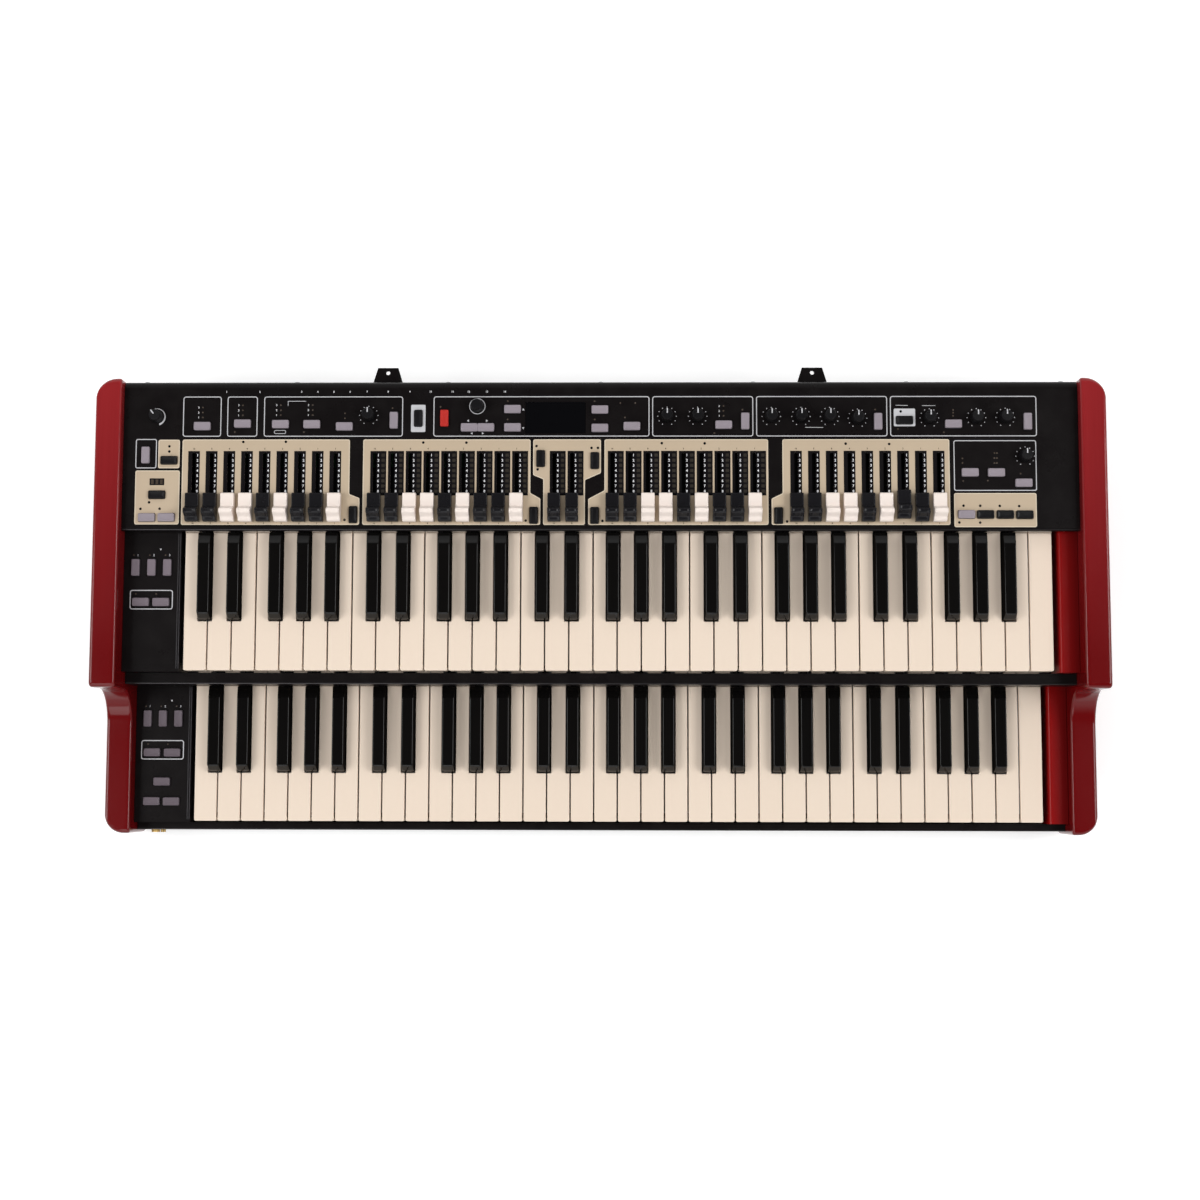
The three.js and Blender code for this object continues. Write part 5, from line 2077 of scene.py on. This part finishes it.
@dataclass
class ControlBlock:
    """The black block left of a manual, with its outlines and lamps.

    Attributes:
        tier: the manual that it belongs to.
        rear: how far back its top shows.
        frame: the pale outline round the pair of buttons.
        lamps: where its small lamps are, the three with numbers first.
        overhang: how far its front stands ahead of the naturals.
        numbered: how many lamps have a number.
    """

    tier: Tier
    rear: float
    frame: tuple[float, float, float, float]
    lamps: Sequence[Flat]
    overhang: float = 1.4
    numbered: int = 3

    def build(self) -> None:
        """Dresses the block and prints on it."""
        name, top = self.tier.name, self.tier.block
        low, high = top + 0.02, top + 0.09
        softened(f"{name}_control_block", "case", STEEL_BLACK)
        draft = Draft()
        outline = eased(rectangle(*self.frame), 2.4)
        draft.plate(outline, [inset(outline, 0.9)], low, high)
        # Two thin strips, paler than the block, at X -411.6 and -409.6 from its front to its rear.
        for x in (-411.6, -409.6):
            front = self.tier.front - self.overhang
            pale_strip = eased(rectangle(x, front + 3.0, x + 0.8, self.rear), 0.3, 2)
            draft.tower(pale_strip, [(0, top - 0.2), (0, top + 0.25), (0.2, top + 0.4)], 2)
        for index, (x, y) in enumerate(self.lamps):
            numbered = index < self.numbered
            axis = Matrix.Translation((x - 2.2 if numbered else x, y, top))
            draft.lathe(axis, [(0.8, 0.0), (0.8, 0.12), (0.55, 0.26), (0.25, 0.3)], 12, mark=1)
            if numbered:
                GLYPHS.write(draft, str(index + 1), (x + 1.9, y), 2.1, low, 0)
        x, y = self.lamps[1]
        arrow = [(x + 7.3, y + 6.3), (x + 8.4, y + 4.4), (x + 9.5, y + 6.3)]
        draft.plate(arrow, [], low, high)
        draft.make(f"{name}_block_print", [PALE_PRINT, LAMP, PALE_STRIP_GREY], "case")


# Small fittings


def along_y(x: float, y: float, z: float, way: int = 1) -> Matrix:
    """Gives a place whose own Z runs along Y.

    Args:
        x: its place along X.
        y: its place along Y.
        z: its height.
        way: 1 to face the rear, -1 to face the player.

    Returns:
        The place.
    """
    return Matrix.Translation((x, y, z)) @ Matrix.Rotation(-way * math.pi / 2, 4, "X")


@dataclass
class RearFittings:
    """Rings, nuts, pins and screws at the rear.

    Attributes:
        face: the rear face along Y.
        height: height of the sockets' middles.
        jacks: where the round plug sockets are.
        rounds: where the five pin sockets are.
        multi: where the large round socket is.
        square: where the square socket is.
        depth: depth of the sockets that hold contacts.
    """

    face: float = 211.5
    height: float = 60.0
    jacks: tuple[float, ...] = (
        -331.7, -290.8, -275.0, -259.2, -243.4, -226.7, -206.2, -143.1, -127.3, -92.0
    )
    rounds: tuple[float, ...] = (-184.9, -164.4)
    multi: float = -364.2
    square: float = -109.6
    depth: float = 13.0

    def rings(self) -> bpy.types.Object:
        """Builds the threaded rings and nuts round the sockets.

        Returns:
            The piece.
        """
        draft = Draft()
        for x in self.jacks:
            self.ring(draft, x, 6.2, 4.6, 1.1, hexagonal=True)
            self.ring(draft, x, 4.8, 3.65, 1.7)
        self.ring(draft, self.multi, 12.6, 9.5, 0.9)
        return draft.make("socket_rings", [ZINC], "case", crease=35)

    def ring(
        self, draft: Draft, x: float, outer: float, bore: float, rise: float, hexagonal: bool = False
    ) -> None:
        """Adds a flat ring on the rear face.

        Args:
            draft: the draft.
            x: its middle along X.
            outer: its outer radius.
            bore: its inner radius.
            rise: how far it stands out.
            hexagonal: whether it is a nut with six flats.
        """
        base = self.face + 0.02
        top = base + rise
        levels = [
            (bore, base), (outer, base), (outer, top - 0.25), (outer - 0.3, top),
            (bore + 0.2, top), (bore, top - 0.2),
        ]
        count, flat = 48, math.tau / 6
        points: list[Point] = []
        faces = []
        for level, (radius, y) in enumerate(levels):
            near, far = level * count, (level + 1) % len(levels) * count
            for i in range(count):
                turn = math.tau * i / count
                reach = radius
                if hexagonal and radius > bore + 0.5:
                    reach = radius * math.cos(flat / 2) / math.cos(turn % flat - flat / 2)
                points.append((x + reach * math.cos(turn), y, self.height + reach * math.sin(turn)))
                j = (i + 1) % count
                faces.append((near + i, near + j, far + j, far + i))
        draft.add(points, faces)

    def plug(self, draft: Draft, x: float, outline: Sequence[Flat], rise: float, taper: float) -> None:
        """Adds the round body that holds a socket's contacts.

        Args:
            draft: the draft.
            x: its middle along X.
            outline: its outline round its own middle.
            rise: how far it stands above the socket's floor.
            taper: size of its face, as a share.
        """
        floor = self.face - self.depth
        rings = []
        for share, out in ((1, 0), (1, rise), (taper, rise + 0.3)):
            rings.append([(x + u * share, floor + out, self.height + v * share) for u, v in outline])
        draft.loft(rings, 1)

    def pins(self) -> bpy.types.Object:
        """Builds the contacts inside the sockets.

        Returns:
            The piece.
        """
        draft = Draft()
        floor = self.face - self.depth
        for x in self.rounds:
            self.plug(draft, x, circle((0, 0), 6.8, 32), 2, 0.96)
            for k in range(5):
                turn = math.radians(k * 45)
                height = self.height - 4.2 * math.sin(turn) + 1.0
                place = along_y(x + 4.2 * math.cos(turn), floor + 2.2, height)
                draft.lathe(place, [(0.75, 0.0), (0.75, 0.8), (0.5, 0.9)], 12)
        self.plug(draft, self.multi, circle((0, 0), 8.6, 40), 3, 0.97)
        outer = [(5.8, math.tau * k / 7) for k in range(7)]
        inner = [(2.6, math.tau * k / 3) for k in range(3)]
        for reach, turn in (*outer, *inner, (0.0, 0.0)):
            height = self.height + reach * math.sin(turn)
            place = along_y(self.multi + reach * math.cos(turn), floor + 3.2, height)
            draft.lathe(place, [(0.7, 0.0), (0.7, 4.0), (0.35, 4.4)], 12)
        tongue = eased(centred((self.square, self.height), 5.6, 3.4), 0.4, 2)
        draft.loft([[(x, floor + out, z) for x, z in tongue] for out in (0, 9.0)], 1)
        return draft.make("socket_contacts", [GILT, PLASTIC], "case", crease=35)

    def screws(self) -> bpy.types.Object:
        """Builds the screws along the rear bend.

        Returns:
            The piece.
        """
        draft = Draft()
        head = [(2.6, -0.3), (2.6, 0.35), (2.1, 0.8), (1.3, 1.0), (1.15, 0.35), (0.2, 0.3)]
        for x in (-444.5, -296.8, -148.2, 1.2, 150.3, 299.8, 450.4):
            for z in (128.6, 84.0):
                draft.lathe(along_y(x, self.face, z), head, 20)
        return draft.make("rear_screws", [ZINC], "case", crease=35)

    def build(self) -> None:
        """Builds every rear fitting."""
        self.rings()
        self.pins()
        self.screws()


@dataclass
class Underside:
    """Screws of the bottom pan.

    Attributes:
        bottom: the pan's underside.
    """

    bottom: float = 8.0

    def build(self) -> bpy.types.Object:
        """Builds the screws round the pan.

        Returns:
            The piece.
        """
        draft = Draft()
        turn = Matrix.Rotation(math.pi, 4, "X")
        head = [(2.8, -0.2), (2.8, 0.4), (2.2, 0.95), (1.2, 1.1), (1.0, 0.5), (0.2, 0.45)]
        for x in (-445.0, -300.0, -150.0, 0.0, 150.0, 300.0, 445.0):
            for y in (-212.0, -20.0, 195.0):
                draft.lathe(Matrix.Translation((x, y, self.bottom)) @ turn, head, 20)
        return draft.make("bottom_screws", [ZINC], "case", crease=35)


def dress_frame_nodes() -> None:
    """Gives the frame's own pieces that stay their finishes."""
    finishes = {
        "bottom_pan": STEEL_BLACK,
        "rear_panel": STEEL_BLACK,
        "rear_socket_field": PLASTIC,
        "panel_board": BOARD,
        "main_board": BOARD,
        "power_supply": ZINC,
        "upper_key_frame": ZINC,
        "lower_key_frame": ZINC,
        "power_inlet": PLASTIC,
        "display_window": GLASS,
    }
    for node, finish in finishes.items():
        mesh = frame["nodes"][node].data
        mesh.materials.clear()
        mesh.materials.append(finish.material())
        log.info("%s: dressed", node)


# Stage, light and camera


@dataclass
class Studio:
    """Floor, lamps and camera.

    Attributes:
        eye: where the camera is, in metres.
        gaze: the way it looks.
        roll: its roll in degrees.
        lens: its focal length in millimetres.
        floor: size of the floor in metres.
        fill: strength of the world's light on the part.
    """

    eye: Point = (0.0272, -0.1785, 1.9726)
    gaze: Point = (-0.0142, 0.0950, -0.9954)
    roll: float = 0.117
    lens: float = 57.3
    floor: float = 60.0
    fill: float = 0.36

    def camera(self) -> None:
        """Places the camera where the photograph was taken from."""
        camera = bpy.data.objects.new("camera", bpy.data.cameras.new("camera"))
        bpy.context.scene.collection.objects.link(camera)
        camera.data.lens = self.lens
        camera.data.sensor_width = 36.0
        camera.data.clip_end = 100.0
        ahead = Vector(self.gaze).normalized()
        right = ahead.cross(Vector((0, 1, 0))).normalized()
        up = right.cross(ahead)
        turn = Matrix((right, up, -ahead)).transposed() @ Matrix.Rotation(math.radians(self.roll), 3, "Z")
        camera.matrix_world = Matrix.Translation(self.eye) @ turn.to_4x4()
        bpy.context.scene.camera = camera

    def ground(self) -> None:
        """Lays a pale floor that looks white and keeps the shadow."""
        half, below = self.floor / 2, -0.0004
        corners = [(x, y, below) for x, y in rectangle(-half, -half, half, half)]
        mesh = bpy.data.meshes.new("floor")
        mesh.from_pydata(corners, [], [(0, 1, 2, 3)])
        ground = bpy.data.objects.new("floor", mesh)
        bpy.context.scene.collection.objects.link(ground)
        material = bpy.data.materials.new("pale_floor")
        material.use_nodes = True
        tree = Tree(material.node_tree)
        shader = material.node_tree.nodes["Principled BSDF"]
        shader.inputs["Base Color"].default_value = (0.86, 0.86, 0.86, 1.0)
        shader.inputs["Roughness"].default_value = 0.9
        shader.inputs["Specular IOR Level"].default_value = 0.0
        shader.inputs["Emission Color"].default_value = (1.0, 1.0, 1.0, 1.0)
        reach = tree.node("ShaderNodeVectorMath", operation="LENGTH")
        tree.join(tree.place(), reach.inputs[0])
        far = tree.spread(reach.outputs["Value"], low=0.4, high=0.8, start=1.1, end=2.4)
        tree.join(tree.math("MULTIPLY", self.seen(tree), far), shader.inputs["Emission Strength"])
        mesh.materials.append(material)

    def seen(self, tree: Tree) -> bpy.types.NodeSocket:
        """Gives 1 for rays that show the background.

        Args:
            tree: the tree to add to.

        Returns:
            A socket that is 1 for camera, glossy and transmitted rays.
        """
        rays = tree.node("ShaderNodeLightPath").outputs
        first = tree.math("ADD", rays["Is Camera Ray"], rays["Is Glossy Ray"], clamp=True)
        return tree.math("ADD", first, rays["Is Transmission Ray"], clamp=True)

    def sky(self) -> None:
        """Sets an even world that looks white near the horizon."""
        world = bpy.data.worlds.new("studio")
        world.use_nodes = True
        tree = Tree(world.node_tree)
        background = world.node_tree.nodes["Background"]
        background.inputs["Color"].default_value = (1.0, 1.0, 1.0, 1.0)
        height = tree.along(tree.node("ShaderNodeTexCoord").outputs["Generated"], "Z")
        shown = tree.spread(height, low=1.0, high=0.06, start=0.3, end=0.75)
        mix = tree.node("ShaderNodeMix", data_type="FLOAT")
        tree.join(self.seen(tree), mix.inputs["Factor"])
        mix.inputs["A"].default_value = self.fill
        tree.join(shown, mix.inputs["B"])
        tree.join(mix.outputs["Result"], background.inputs["Strength"])
        bpy.context.scene.world = world

    def lamps(self) -> None:
        """Hangs four soft boxes round the part."""
        places = {
            "left_box": ((-1.85, -0.2, 2.15), 1.1, 26.5),
            "right_box": ((1.85, 0.05, 2.15), 1.1, 28.5),
            "front_box": ((-0.5, -1.9, 1.7), 1.6, 14.0),
            "rear_box": ((0.0, 2.0, 1.65), 3.0, 7.5),
        }
        deep, aim = 1.2, Vector((0, 0, 0.1))
        for name, (place, wide, power) in places.items():
            lamp = bpy.data.lights.new(name, "AREA")
            lamp.shape = "RECTANGLE"
            lamp.size, lamp.size_y = wide, deep
            lamp.energy = power
            holder = bpy.data.objects.new(name, lamp)
            bpy.context.scene.collection.objects.link(holder)
            holder.location = place
            holder.rotation_mode = "QUATERNION"
            holder.rotation_quaternion = (aim - Vector(place)).to_track_quat("-Z", "Y")

    def build(self) -> None:
        """Sets up the studio."""
        self.ground()
        self.sky()
        self.lamps()
        self.camera()
        bpy.context.scene.view_settings.view_transform = "Standard"
        log.info("studio: floor, world, lamps and camera")


def main() -> None:
    """Builds every piece in order."""
    logging.basicConfig(level=logging.INFO, format="%(name)s %(message)s")
    Studio().build()
    for side in (-1, 1):
        Cheek(side).build()
    dress_frame_nodes()
    for tier in (LOWER, UPPER):
        manual = Manual(tier)
        manual.naturals()
        manual.sharps()
        softened(f"{tier.name}_wooden_block", "case", STAINED, crease=25)
        softened(f"{tier.name}_key_slip", "case", STEEL_BLACK, crease=25)
    ControlBlock(
        UPPER, 63.0, (-457.8, -11.7, -415.7, 7.4),
        [(-452.7, 41.6), (-437.0, 41.6), (-421.6, 41.6), (-452.0, 3.5), (-432.0, 3.4)],
    ).build()
    ControlBlock(
        LOWER, -84.0, (-458.7, -156.7, -415.9, -137.4),
        [(-452.7, -103.5), (-437.4, -103.5), (-421.9, -103.5), (-452.0, -141.4), (-432.0, -141.4)],
    ).build()
    softened("top_panel", "case", STEEL_BLACK, crease=28)
    PanelPrint().build()
    for row in bar_rows():
        row.build()
    for node, (body, x, y) in KNOB_PLACES.items():
        pointer = {"master_level_knob": 37.0, "program_encoder": None}.get(node, 0.0)
        Knob(node, body, x, y, pointer).build()
    groups = [
        ButtonGroup("grey_panel_buttons", "grey_push", GREY_BUTTONS, GREY),
        ButtonGroup("black_panel_buttons", "black_push", BLACK_BUTTONS, PLASTIC),
        ButtonGroup("store_button", "store_push", RED_BUTTONS, RED),
        ButtonGroup("upper_block_buttons", "upper_block_push", UPPER_BLOCK_BUTTONS, DIM_GREY, UPPER.block),
        ButtonGroup("lower_block_buttons", "lower_block_push", LOWER_BLOCK_BUTTONS, DIM_GREY, LOWER.block),
    ]
    for group in groups:
        group.build()
    for node in ("left_stand_bracket", "right_stand_bracket"):
        softened(node, "case", STEEL_BLACK, 0.4)
    softened("power_switch", "power_rocker", PLASTIC, 0.5)
    softened("headphone_sockets", "case", GILT, 0.2)
    for node in ("front_left_foot", "front_right_foot", "rear_left_foot", "rear_right_foot"):
        softened(node, "case", RUBBER, 0.6)
    RearFittings().build()
    Underside().build()
    bpy.context.view_layer.update()


if __name__ == "__main__":
    main()
